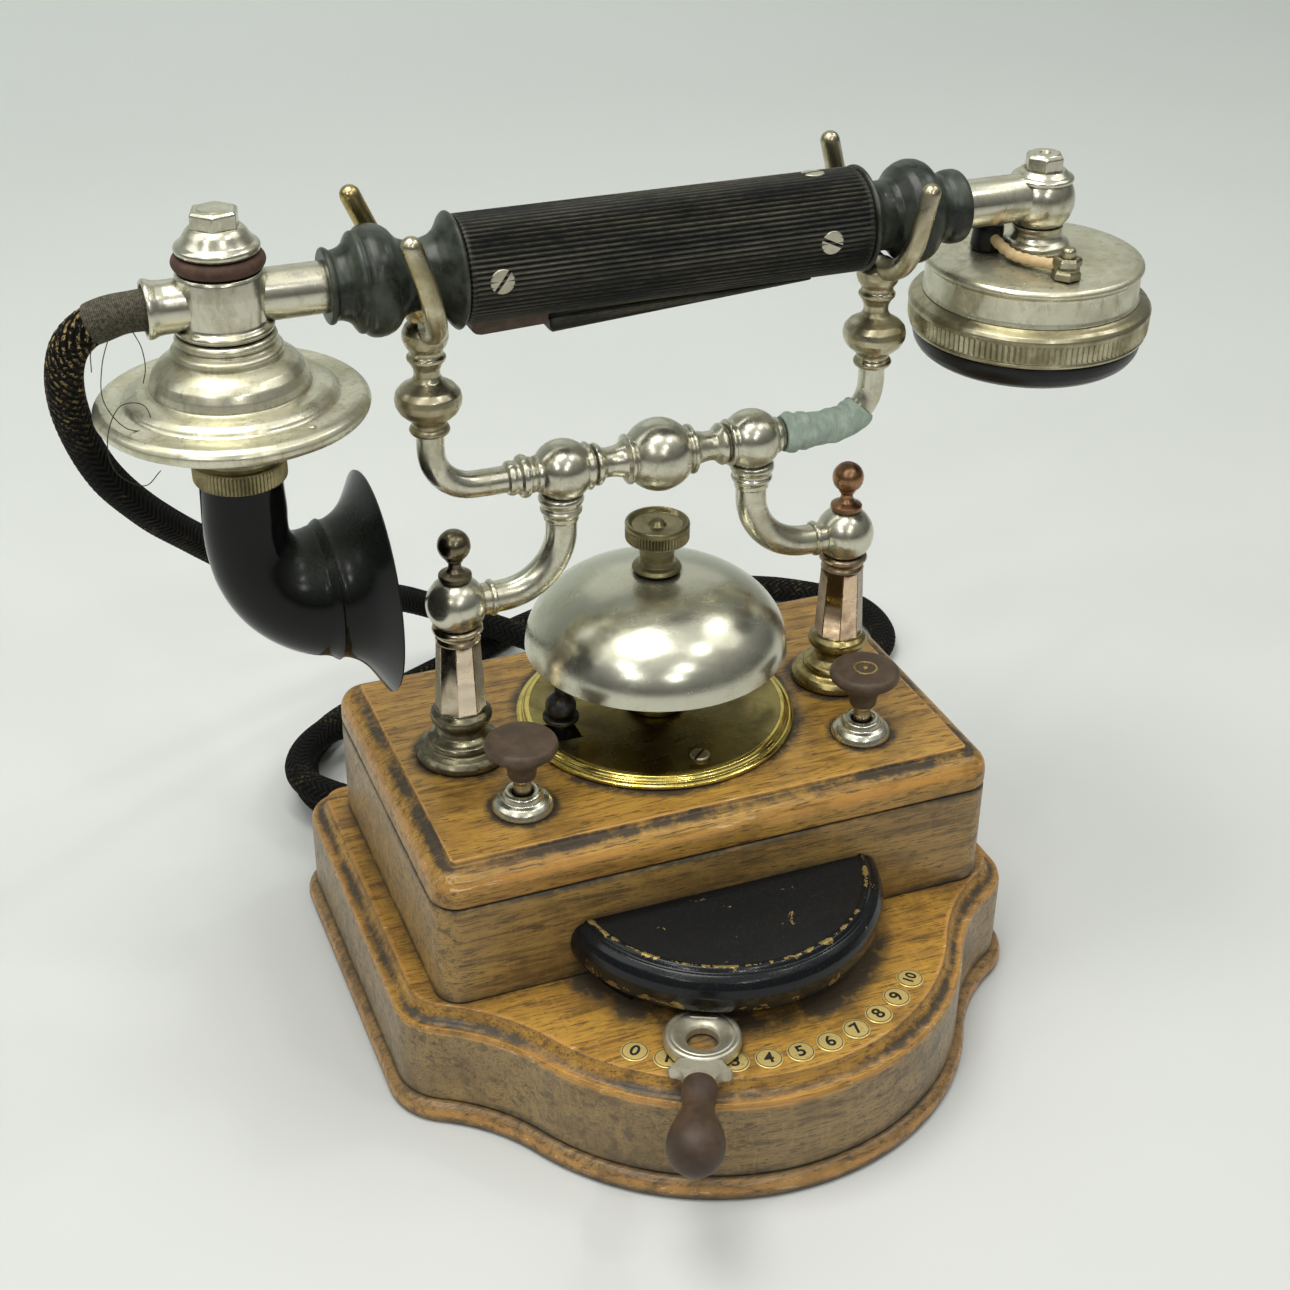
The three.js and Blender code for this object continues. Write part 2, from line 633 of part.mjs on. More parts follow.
function gripEnd(side) {
  const left = [
    [0, 57.6], [14.6, 57.6], [15.3, 58.4], [13, 60], [10.3, 62.2], [9.2, 66.2], [9.2, 71], [10.6, 73.4],
    [13.2, 75.4], [14.3, 78.4], [14.3, 81], [13.2, 84], [10.8, 85.6], [9.2, 87], [9.3, 91.5], [0, 91.5],
  ];
  const right = [
    [0, 57.6], [14.2, 57.6], [14.6, 58.2], [12, 59.4], [9.8, 61], [9.6, 66], [10.8, 68.6], [13.4, 70.6],
    [14.3, 73], [14.3, 76], [13.4, 78.4], [10.6, 80], [9.3, 82], [9.3, 84.6], [9.8, 85.4], [9.8, 89.7],
    [0, 89.7],
  ];
  return latheX(side < 0 ? left.map(([r, x]) => [r, -x]) : right, MEDIUM);
}

// Bar below the grip: it hangs lowest at its left end and turns about its right end.
function talkBar() {
  const outline = new THREE.Shape([v2(-33, -19.5), v2(43, -14.6), v2(43, -13.4), v2(-33, -15)]);
  const bar = new THREE.ExtrudeGeometry(outline, { depth: 9.6, bevelEnabled: false });
  return bar.rotateX(Math.PI / 2).translate(0, 4.8, 0);
}

function transmitterNeck() {
  const pipe = latheX([
    [0, LEFT_TUBE.from], [7.5, LEFT_TUBE.from], [7.5, -135.4], [LEFT_TUBE.r, -132.6],
    [LEFT_TUBE.r, LEFT_TUBE.to - GAP], [0, LEFT_TUBE.to - GAP],
  ], MEDIUM);
  const mouth = latheX([[0, -140], [5.9, -140], [5.9, -128.5], [0, -128.5]], MEDIUM);
  const barrel = lathe([
    [0, -7.8], [12, -7.8], [12.4, -6.7], [11.6, -5.6], [10.8, -4.4], [11.2, 4], [10.8, 8.1], [0, 8.1],
  ], MEDIUM).translate(TRANSMITTER_X, 0, 0);
  return cut(join(pipe, barrel), mouth, cylinder(3, 1.5, 12, 12).translate(TRANSMITTER_X, 0, 0));
}

function transmitterBolt() {
  const washer = lathe([
    [0, 234], [2.7, 234], [2.7, 244.5], [10.3, 244.5], [10.3, 245.4], [7, 247.4], [5.9, 249.5], [0, 249.5],
  ], SMALL);
  return join(washer, lathe([[0, 249], [5.6, 249], [5.6, 254.4], [4.6, 255.3], [0, 255.3]], 6));
}

function transmitterSeal() {
  return lathe([
    [3, 239.9], [10.6, 239.9], [11.5, 241], [11.5, 242.8], [10.6, 244.2], [3, 244.2], [3, 239.9],
  ], MEDIUM);
}

function transmitterCase() {
  return lathe([
    [0, 223.4], [12, 223.4], [14, 220.4], [13.4, 219.2], [18.4, 215], [19.9, 212.1], [25.4, 210],
    [26, 207.4], [34, 205.6], [34.9, 203.8], [33, 200], [12, 192], [9, 192], [9, 194], [27.5, 200.8],
    [27.5, 204], [0, 206],
  ], 20);
}

// Elbow and trumpet as [x, z, radius] stations along the centre line, ending at the mouth.
const MOUTHPIECE_STATIONS = [
  [-117.6, 182.2, 10.9], [-117.4, 165, 11.7], [-113.4, 154.4, 13.6], [-107, 148, 16.2], [-99.6, 145.2, 18.4],
  [-95, 145, 19.2], [-90, 145, 22.6], [-87, 145, 26.4], [-84.7, 145, 30.8],
];

function trumpet(stations) {
  const centres = stations.map(([x, z]) => v3(x, 0, z));
  const rings = stations.map(([, , radius], i) => {
    const before = centres[Math.max(i - 1, 0)];
    const after = centres[Math.min(i + 1, centres.length - 1)];
    const along = after.clone().sub(before).normalize();
    const up = v3(-along.z, 0, along.x);
    return arc(0, 0, radius, 0, 360 - 22.5, 15).map((point) => (
      centres[i].clone().addScaledVector(up, point.x).add(v3(0, point.y, 0))
    ));
  });
  return loft(rings);
}

function mouthpiece() {
  const wall = 2;
  const inner = MOUTHPIECE_STATIONS.map(([x, z, radius]) => [x, z, radius - wall]);
  inner[0][1] += 2;
  inner[inner.length - 1][0] += 1;
  inner[inner.length - 1][2] += 0.8;
  return cut(trumpet(MOUTHPIECE_STATIONS), trumpet(inner));
}

function mouthpieceRing() {
  return lathe([
    [8.9, 182.5], [12.1, 182.5], [12.1, 188.3], [10.6, 188.7], [10.6, 191.7], [8.9, 191.7], [8.9, 182.5],
  ], MEDIUM);
}

function receiverNeck() {
  const pipe = latheX([
    [0, RIGHT_TUBE.from], [RIGHT_TUBE.r, RIGHT_TUBE.from], [RIGHT_TUBE.r, RECEIVER_X], [0, RECEIVER_X],
  ], MEDIUM);
  const drop = lathe([
    [0, -16], [8.8, -16], [9.5, -14.6], [9.5, -12.4], [7.6, -11.2], [7, -9.5], [7.4, -7.6], [0, -7.6],
  ], MEDIUM).translate(RECEIVER_X, 0, 0);
  const ball = sphere(9.7, -1, MEDIUM).translate(RECEIVER_X, 0, 0);
  const above = cylinder(12, 4.7, 12).translate(RECEIVER_X, 0, 0);
  return cut(join(pipe, drop, ball), above, cylinder(3, -1, 12, 12).translate(RECEIVER_X, 0, 0));
}

function receiverBolt() {
  const washer = lathe([
    [0, 231.5], [2.7, 231.5], [2.7, 236.5], [8.7, 236.5], [8.7, 237.6], [6.4, 239.2], [0, 239.2],
  ], SMALL);
  return join(washer, lathe([[0, 239], [5.5, 239], [5.5, 242.9], [4.6, 243.7], [0, 243.7]], 6));
}

function receiverCase() {
  return lathe([
    [0, 215.2], [14, 215.1], [24, 214.6], [30.4, 213.9], [31.7, 212.8], [31.7, 211.4], [31.1, 210.8],
    [31.1, 203], [28.6, 203], [28.6, 210.6], [0, 210.6],
  ], LARGE);
}

function receiverRing() {
  return lathe([
    [27, 191.9], [34.2, 191.9], [34.8, 192.5], [35.1, 199.6], [34.6, 200.6], [32.6, 201.8], [31.6, 202.7],
    [27, 202.7], [27, 191.9],
  ], LARGE);
}

function earCap() {
  return lathe([
    [6, 191.6], [6, 189], [12, 188.4], [24, 185.4], [27.9, 184.3], [31, 185.6], [33.2, 188.4], [33.6, 191.6],
    [6, 191.6],
  ], LARGE);
}

function receiverTerminal() {
  return lathe([
    [0, 215.6], [3.9, 215.6], [3.9, 217.6], [3, 218], [3, 218.8], [3.9, 219.2], [3.9, 221.4], [2.2, 221.8],
    [2, 224], [0, 224],
  ], 8);
}

// ---- cord ---------------------------------------------------------------------------------------------
// Centre line from the whipping at the handset down to the table, round behind the base in loose
// loops, and into the gland at the back of the base.
const CORD_ROUTE = [
  [WHIPPING_END - GAP, 0, HANDSET_Z], [-138.7, 0, 231.5], [-143.4, 0.2, 231.1], [-148, 0.9, 229.7],
  [-152, 2.6, 226.9], [-155.2, 5.2, 222.4], [-157, 9.2, 215], [-156.9, 15.6, 203.6], [-154.2, 22.4, 189.6],
  [-148.8, 30, 174.6], [-138, 43, 156], [-121.5, 66, 132], [-100, 95, 103], [-76, 124, 78], [-52, 149, 56],
  [-29, 169, 37], [-6, 176.4, 21], [11, 172.6, 12.6], [26, 165, 7], [46, 149, 5.2], [70, 127, 5.2],
  [98, 111, 5.2], [130, 112, 5.2], [151, 129, 5.2], [153, 154, 5.2], [133, 177, 5.2], [97, 193, 5.2],
  [56, 198, 5.2], [20, 189, 5.2], [-12, 173, 5.2], [-42, 159, 5.2], [-68, 146, 5.2], [-83, 128, 5.2],
  [-86.6, 113, 5.2], [-84.6, 100, 5.2], [-76.6, 88, 5.2], [-62.8, 82.2, 5.2], [-48.3, 85.3, 5.2],
  [-38.3, 96.4, 5.2], [-36.4, 111.3, 5.4], [-43.3, 124.7, 7], [-56, 131.4, 10.6], [-69.4, 129.8, 14.4],
  [-80.6, 121.6, 16.1], [-88, 112, 16.4], [-90.8, 102.6, 16.5], [-89.2, 93.6, 16.6], [-84.4, 86.2, 16.8],
  [-79.2, 79.8, 16.9], [-76.6, 75, GLAND.z], [GLAND.x, 72, GLAND.z],
  [GLAND.x, GLAND.y + GLAND.length + 2 * GAP, GLAND.z],
];

function handsetCord() {
  return tube(CORD_ROUTE.map(([x, y, z]) => v3(x, y, z)), CORD_RADIUS, 8, 72);
}

function cordWhipping() {
  return latheX([[0, -130], [5.4, -130], [5.4, WHIPPING_END], [0, WHIPPING_END]], MEDIUM);
}

function cordGland() {
  const { r, length } = GLAND;
  return lathe([[0, 0], [r, 0], [r, 2], [6.6, 3], [6.2, length], [0, length]], SMALL).rotateX(-Math.PI / 2);
}

// ---- assembly -------------------------------------------------------------------------------------------
addPart('base_board', baseBoard(), oak());
addPart('plinth', plinth(), oak());
addPart('box_case', boxCase(), oak());
addPart('lid', lid(), oak());
addPart('number_scale', numberScale(), brass());
addPart('contact_arc', contactArc(), brass());
addPart('selector_cover', selectorCover(), japan());
addPart('selector_pivot', selectorPivot(), brass(), 0, SELECTOR_Y, 0);
const turn = -radians(SELECTOR_REST);
addPart('selector_lever', selectorLever(), nickel(), 0, SELECTOR_Y, 0).rotation.z = turn;
addPart('selector_handle', selectorHandle(), fibre(), 0, SELECTOR_Y, 0).rotation.z = turn;

addPart('gong_plate', gongPlate(), brass());
addPart('gong_post', gongPost(), brass());
addPart('gong', gong(), nickel());
addPart('gong_nut', gongNut(), nickel());
addPart('magnet_coil_front', magnetCoil(10), winding());
addPart('magnet_coil_rear', magnetCoil(30), winding());
addPart('magnet_yoke', magnetYoke(), iron());
addPart('bell_hammer', bellHammer(), iron());
addPart('induction_coil', inductionCoil(), winding());
addPart('terminal_strip', terminalStrip(), ebonite());

for (const [word, side] of [['left', -1], ['right', 1]]) {
  const buttonX = side * BUTTON.x;
  addPart(`button_collar_${word}`, buttonCollar(), nickel(), buttonX, BUTTON.y);
  addPart(`button_stem_${word}`, cylinder(BUTTON.stem, 66, 93), nickel(), buttonX, BUTTON.y);
  addPart(`button_cap_${word}`, buttonCap(), fibre(), buttonX, BUTTON.y);
  addPart(`contact_spring_${word}`, contactSpring(side), brass());
  addPart(`post_${word}`, post(), side < 0 ? nickel() : copper(), side * POST_X);
  addPart(`finial_${word}`, finial(), side < 0 ? nickel() : copper(), side * POST_X);
  addPart(`lower_arm_${word}`, lowerArm(side), nickel());
  addPart(`upper_arm_${word}`, upperArm(side), nickel());
  addPart(`fork_${word}`, fork(side), nickel(), side * FORK_X);
  addPart(`grip_end_${word}`, gripEnd(side), ebonite(), 0, 0, HANDSET_Z);
}
addPart('crossbar', crossbar(), nickel(), 0, 0, CROSSBAR_Z);
addPart('arm_wrap', armWrap(), putty());

addPart('grip_sleeve', gripSleeve(), ebonite(), 0, 0, HANDSET_Z);
addPart('talk_bar', talkBar(), ebonite(), 0, 0, HANDSET_Z);
addPart('transmitter_neck', transmitterNeck(), nickel(), 0, 0, HANDSET_Z);
addPart('transmitter_bolt', transmitterBolt(), nickel(), TRANSMITTER_X);
addPart('transmitter_seal', transmitterSeal(), rubber(), TRANSMITTER_X);
addPart('transmitter_case', transmitterCase(), nickel(), TRANSMITTER_X);
addPart('transmitter_diaphragm', cylinder(26.6, 201.6, 202.6, MEDIUM), iron(), TRANSMITTER_X);
addPart('mouthpiece_ring', mouthpieceRing(), brass(), TRANSMITTER_X);
addPart('mouthpiece', mouthpiece(), gloss());
addPart('receiver_neck', receiverNeck(), nickel(), 0, 0, HANDSET_Z);
addPart('receiver_bolt', receiverBolt(), nickel(), RECEIVER_X);
addPart('receiver_case', receiverCase(), nickel(), RECEIVER_X);
addPart('receiver_ring', receiverRing(), nickel(), RECEIVER_X);
addPart('ear_cap', earCap(), ebonite(), RECEIVER_X);
addPart('receiver_terminal', receiverTerminal(), nickel(), 113.2, -22.7);
addPart('cord_whipping', cordWhipping(), braid(), 0, 0, HANDSET_Z);
addPart('handset_cord', handsetCord(), braid());
addPart('cord_gland', cordGland(), ebonite(), GLAND.x, GLAND.y + GAP, GLAND.z);

export default telephone;
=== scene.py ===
import math

import bmesh
import bpy
from mathutils import Matrix, Vector


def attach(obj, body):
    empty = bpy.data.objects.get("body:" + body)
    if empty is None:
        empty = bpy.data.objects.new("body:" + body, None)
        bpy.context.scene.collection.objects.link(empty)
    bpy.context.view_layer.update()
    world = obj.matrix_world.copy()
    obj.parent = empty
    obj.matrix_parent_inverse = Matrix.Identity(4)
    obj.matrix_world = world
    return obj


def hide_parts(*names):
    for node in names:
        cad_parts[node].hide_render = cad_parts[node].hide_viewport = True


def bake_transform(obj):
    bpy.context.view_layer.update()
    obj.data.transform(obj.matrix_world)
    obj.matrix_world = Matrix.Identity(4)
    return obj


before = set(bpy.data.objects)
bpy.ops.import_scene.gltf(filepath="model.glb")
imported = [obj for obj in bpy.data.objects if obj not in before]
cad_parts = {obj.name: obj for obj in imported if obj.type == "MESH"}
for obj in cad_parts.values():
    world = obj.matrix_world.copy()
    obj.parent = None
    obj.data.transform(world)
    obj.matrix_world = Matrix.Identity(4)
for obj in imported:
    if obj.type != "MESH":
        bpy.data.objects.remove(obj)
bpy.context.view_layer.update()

MM = 0.001

# ---- places that the CAD source also uses, in millimetres ------------------------------------------
HANDSET_Z = 231.5
CROSSBAR_Z = 169.5
TRANSMITTER_X = -117.6
RECEIVER_X = 116.8
SELECTOR_Y = -46
SELECTOR_REST = 25.5
STATION_STEP = 8.5
STATIONS = 11
STATION_RADIUS = 62.7
BUTTON_X, BUTTON_Y = 53.4, -32.7
POST_X = 61
FORK_X = 66.2
PLINTH_TOP = 37.7
BOX_FRONT = -57.1
COVER_Y = -49.3
ARM_Z = 133.1
HAMMER_X, HAMMER_Y = -32, -5
GRIP_RIBS = 62
BRAID_STRANDS = 12
BRAID_PITCH = 10.5


# ---- shapes: every shape is (list of points in mm, list of faces) -----------------------------------
def angles_between(start, end, steps):
    """Angles in radians at even steps from start to end degrees."""
    return [math.radians(start + (end - start) * i / steps) for i in range(steps + 1)]


def lengths_along(points):
    """The length of a path up to each of its points."""
    lengths = [0.0]
    for a, b in zip(points, points[1:]):
        lengths.append(lengths[-1] + (b - a).length)
    return lengths


def rounded(points, radius, steps=4):
    """A profile whose inner corners are turned into small arcs."""
    points = [Vector(p) for p in points]
    out = [points[0]]
    for before, here, after in zip(points, points[1:], points[2:]):
        reach = min(radius, 0.45 * (before - here).length, 0.45 * (after - here).length)
        start = here + (before - here).normalized() * reach
        end = here + (after - here).normalized() * reach
        for i in range(steps + 1):
            t = i / steps
            out.append(start * (1 - t) ** 2 + here * 2 * t * (1 - t) + end * t * t)
    return [*out, points[-1]]


def skin(rings, closed=False):
    """Faces over rings of points; a ring of one point is a pole."""
    points, faces, starts = [], [], []
    for ring in rings:
        starts.append(len(points))
        points.extend(ring)
    pairs = list(zip(range(len(rings)), range(1, len(rings))))
    if closed:
        pairs.append((len(rings) - 1, 0))
    for low, high in pairs:
        a, b = len(rings[low]), len(rings[high])
        count = max(a, b)
        if count == 1:
            continue
        for i in range(count):
            j = (i + 1) % count
            face = [starts[low] + i % a, starts[low] + j % a, starts[high] + j % b, starts[high] + i % b]
            faces.append(list(dict.fromkeys(face)))
    return points, faces


def turned(profile, sides=96, about="Z", place=(0, 0, 0), relief=None, fillet=0.35):
    """A turned shape from [radius, height] points, with an optional radial relief(height, angle)."""
    looped = Vector(profile[0]) == Vector(profile[-1])
    if fillet:
        profile = rounded(profile, fillet)
    if looped:
        profile = profile[:-1]
    rings = []
    for radius, height in profile:
        if radius < 1e-6:
            ring = [(0.0, 0.0, height)]
        else:
            ring = []
            for i in range(sides):
                angle = 2 * math.pi * i / sides
                r = radius + (relief(height, angle) if relief else 0)
                ring.append((r * math.cos(angle), r * math.sin(angle), height))
        if about == "X":
            ring = [(z, x, y) for x, y, z in ring]
        rings.append([Vector(p) + Vector(place) for p in ring])
    return skin(rings, looped)


def along_x(profile, sides, **more):
    """A turned shape on the handset's line."""
    return turned(profile, sides, about="X", place=(0, 0, HANDSET_Z), **more)


def upright(x, profile, sides, **more):
    """A turned shape that stands at x on the middle line."""
    return turned(profile, sides, place=(x, 0, 0), **more)


def smooth_path(points, spacing):
    """Points at even spacing along the centripetal Catmull-Rom curve through the given ones."""
    points = [Vector(p) for p in points]
    ends = [points[0] * 2 - points[1], *points, points[-1] * 2 - points[-2]]
    fine = [points[0]]
    for p0, p1, p2, p3 in zip(ends, ends[1:], ends[2:], ends[3:]):
        d0, d1, d2 = ((b - a).length ** 0.5 for a, b in ((p0, p1), (p1, p2), (p2, p3)))
        m1 = ((p1 - p0) / d0 - (p2 - p0) / (d0 + d1) + (p2 - p1) / d1) * d1
        m2 = ((p2 - p1) / d1 - (p3 - p1) / (d1 + d2) + (p3 - p2) / d2) * d1
        steps = max(4, int((p2 - p1).length / spacing * 3))
        for i in range(1, steps + 1):
            t = i / steps
            a, b = 2 * t**3 - 3 * t**2 + 1, -2 * t**3 + 3 * t**2
            fine.append(p1 * a + m1 * (t**3 - 2 * t**2 + t) + p2 * b + m2 * (t**3 - t**2))
    lengths = lengths_along(fine)
    count = max(2, round(lengths[-1] / spacing))
    out, k = [], 0
    for i in range(count + 1):
        at = lengths[-1] * i / count
        while k < len(lengths) - 2 and lengths[k + 1] < at:
            k += 1
        share = (at - lengths[k]) / max(lengths[k + 1] - lengths[k], 1e-9)
        out.append(fine[k].lerp(fine[k + 1], min(1, max(0, share))))
    return out


def swept(path, radius, sides=32, ends="round", relief=None):
    """A tube along a fine path. radius is a number or a function of the share of the length."""
    size = radius if callable(radius) else (lambda share: radius)
    tangents = [(path[min(i + 1, len(path) - 1)] - path[max(i - 1, 0)]).normalized() for i in range(len(path))]
    side = tangents[0].orthogonal().normalized()
    rings = []
    for i, (point, along) in enumerate(zip(path, tangents)):
        side = (side - along * side.dot(along)).normalized()
        up = along.cross(side)
        share = i / (len(path) - 1)
        ring = []
        for k in range(sides):
            angle = 2 * math.pi * k / sides
            r = size(share) + (relief(i, angle) if relief else 0)
            ring.append(point + side * (r * math.cos(angle)) + up * (r * math.sin(angle)))
        rings.append(ring)
    caps = 5 if ends == "round" else 1
    for at, sign in ((0, -1), (-1, 1)):
        point, along, ring = path[at], tangents[at] * sign, rings[at]
        extra = []
        for n in range(1, caps + 1):
            turn = math.pi / 2 * n / caps
            reach = (ring[0] - point).length * math.sin(turn) if ends == "round" else 0
            if n == caps:
                extra.append([point + along * reach])
            else:
                extra.append([point + (p - point) * math.cos(turn) + along * reach for p in ring])
        rings = [*reversed(extra), *rings] if at == 0 else [*rings, *extra]
    return skin(rings)


def lofted(rings):
    """A closed skin over rings, with both ends filled by one face."""
    points, faces = skin(rings)
    count = len(rings[0])
    last = len(points) - count
    faces.append(list(range(count))[::-1])
    faces.append(list(range(last, last + count)))
    return points, faces


def prism(outline, bottom, top, edge=0.3):
    """An upright block over a flat outline, its top and bottom edges eased."""
    centre = sum((Vector(p) for p in outline), Vector((0, 0))) / len(outline)
    size = max((Vector(p) - centre).length for p in outline)
    rings = []
    for z, inset in ((bottom, edge), (bottom + edge, 0), (top - edge, 0), (top, edge)):
        factor = 1 - inset / size
        rings.append([Vector((*(centre + (Vector(p) - centre) * factor), z)) for p in outline])
    return lofted(rings)


def block(x0, x1, y0, y1, z0, z1, edge=0.3):
    return prism([(x0, y0), (x1, y0), (x1, y1), (x0, y1)], z0, z1, edge)


def arc(cx, cy, radius, start, end, steps):
    return [(cx + radius * math.cos(a), cy + radius * math.sin(a)) for a in angles_between(start, end, steps)]


def globe(radius, z, start=0.0, end=180.0, steps=32):
    """Profile of a ball from its lower pole up."""
    return [[max(0.0, radius * math.sin(a)) if 0 < a < math.pi - 1e-6 else 0.0, z - radius * math.cos(a)]
            for a in angles_between(start, end, steps)]


def moved(shape, matrix):
    return [matrix @ Vector(p) for p in shape[0]], shape[1]


def shifted(shape, x=0, y=0, z=0):
    return moved(shape, Matrix.Translation((x, y, z)))


def merged(*shapes):
    points, faces = [], []
    for some_points, some_faces in shapes:
        start = len(points)
        points.extend(some_points)
        faces.extend([[i + start for i in face] for face in some_faces])
    return points, faces


def piece(name, shape, material, body, slot=None, stands_for=(), sharp=38, smooth=True, marks=None):
    """A mesh object of the telephone, in metres, that rides on a body. marks holds values per point."""
    mesh = bpy.data.meshes.new(name)
    mesh.from_pydata([Vector(p) * MM for p in shape[0]], [], [tuple(f) for f in shape[1]])
    for mark, values in (marks or {}).items():
        mesh.attributes.new(mark, "FLOAT", "POINT").data.foreach_set("value", values)
    mesh.update()
    work = bpy.data.objects.new(name, mesh)
    bpy.context.scene.collection.objects.link(work)
    face_outwards(mesh)
    if smooth:
        mesh.polygons.foreach_set("use_smooth", [True] * len(mesh.polygons))
        mesh.set_sharp_from_angle(angle=math.radians(sharp))
    mesh.materials.append(material)
    if body:
        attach(work, body)
    if stands_for:
        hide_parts(*([stands_for] if isinstance(stands_for, str) else stands_for))
    return work


def face_outwards(mesh):
    bm = bmesh.new()
    bm.from_mesh(mesh)
    bmesh.ops.recalc_face_normals(bm, faces=bm.faces)
    bm.to_mesh(mesh)
    bm.free()


def carve(work, *tools):
    """Cuts closed shapes out of a piece."""
    for number, tool in enumerate(tools):
        cutter = piece(f"cutter_{number}", tool, work.data.materials[0], None, smooth=False)
        modifier = work.modifiers.new("cut", "BOOLEAN")
        modifier.operation = "DIFFERENCE"
        modifier.solver = "EXACT"
        modifier.object = cutter
        bpy.context.view_layer.update()
        graph = bpy.context.evaluated_depsgraph_get()
        mesh = bpy.data.meshes.new_from_object(work.evaluated_get(graph))
        work.modifiers.clear()
        work.data = mesh
        bpy.data.objects.remove(cutter)
    mesh.set_sharp_from_angle(angle=math.radians(38))
    return work


# ---- materials -----------------------------------------------------------------------------------------
class Shade:
    """Builds one node material; every texture is in the row frame at rest, in metres."""

    def __init__(self, name, **sockets):
        self.material = bpy.data.materials.new(name)
        self.material.use_nodes = True
        self.tree = self.material.node_tree
        self.tree.nodes.clear()
        self.surface = self.tree.nodes.new("ShaderNodeBsdfPrincipled")
        output = self.tree.nodes.new("ShaderNodeOutputMaterial")
        self.tree.links.new(self.surface.outputs[0], output.inputs[0])
        self.where = self.tree.nodes.new("ShaderNodeTexCoord").outputs["Object"]
        for socket, value in sockets.items():
            self.surface.inputs[socket.replace("_", " ")].default_value = value

    def put(self, socket, value):
        if isinstance(value, bpy.types.NodeSocket):
            self.tree.links.new(value, socket)
        elif isinstance(value, tuple) and len(value) == 3 and len(socket.default_value) == 4:
            socket.default_value = (*value, 1)
        else:
            socket.default_value = value

    def node(self, kind, inputs=(), out=0, **settings):
        made = self.tree.nodes.new("ShaderNode" + kind)
        for key, value in settings.items():
            setattr(made, key, value)
        for key, value in dict(inputs).items():
            self.put(made.inputs[key], value)
        return made.outputs[out]

    def noise(self, size, stretch=(1, 1, 1), detail=4, rough=0.55, warp=0, shift=(0, 0, 0)):
        """Noise whose features are about size millimetres, times stretch along each axis."""
        scale = tuple(1000 / size / s for s in stretch)
        place = self.node("Mapping", {"Vector": self.where, "Scale": scale, "Location": shift})
        return self.node(
            "TexNoise", {"Vector": place, "Scale": 1.0, "Detail": detail, "Roughness": rough, "Distortion": warp}
        )

    def ramp(self, value, low, high, start=0.0, end=1.0):
        """value from low..high onto start..end, clamped."""
        return self.node(
            "MapRange",
            {"Value": value, "From Min": low, "From Max": high, "To Min": start, "To Max": end},
        )

    def mix(self, share, one, two):
        made = self.tree.nodes.new("ShaderNodeMix")
        made.data_type = "RGBA"
        self.put(made.inputs[0], share)
        self.put(made.inputs[6], one)
        self.put(made.inputs[7], two)
        return made.outputs[2]

    def parts(self, vector):
        """The x, y and z of a vector."""
        made = self.tree.nodes.new("ShaderNodeSeparateXYZ")
        self.put(made.inputs[0], vector)
        return made.outputs

    def math(self, kind, one, two=0.5):
        return self.node("Math", {0: one, 1: two}, operation=kind)

    def times(self, one, two):
        return self.math("MULTIPLY", one, two)

    def plus(self, one, two):
        return self.math("ADD", one, two)

    def most(self, one, two):
        return self.math("MAXIMUM", one, two)

    def mark(self, name):
        """A value that the mesh carries on its points."""
        return self.node("Attribute", out=2, attribute_name=name)

    def halo(self, x, y, radius, width):
        """1 at the edge of a round foot at (x, y), fading to 0 a width further out, in millimetres; the oak uses it for
        painted shadow, with dirt, round the foot.
        """
        flat = self.node("VectorMath", {0: self.where, 1: (1, 1, 0)}, operation="MULTIPLY")
        away = self.node("VectorMath", {0: flat, 1: (x * MM, y * MM, 0)}, out=1, operation="DISTANCE")
        return self.ramp(away, radius * MM, (radius + width) * MM, 1, 0)

    def crease(self, reach, inside=False):
        """Ambient occlusion: 0 in the open, 1 deep in a crease where shade falls; inside, 1 at an outer edge. Mixed
        into a colour, it paints shade into creases.
        """
        open_share = self.node(
            "AmbientOcclusion", {"Distance": reach * MM}, out=1, samples=4, inside=inside, only_local=inside
        )
        return self.math("SUBTRACT", 1.0, open_share)

    def bump(self, height, depth, strength=1.0, below=None):
        """A bump of depth millimetres."""
        inputs = {"Height": height, "Distance": depth * MM, "Strength": strength}
        if below:
            inputs["Normal"] = below
        return self.node("Bump", inputs)

    def finish(self, colour=None, roughness=None, metallic=None, normal=None):
        for key, value in (
            ("Base Color", colour), ("Roughness", roughness), ("Metallic", metallic), ("Normal", normal),
        ):
            if value is not None:
                self.put(self.surface.inputs[key], value)
        return self.material


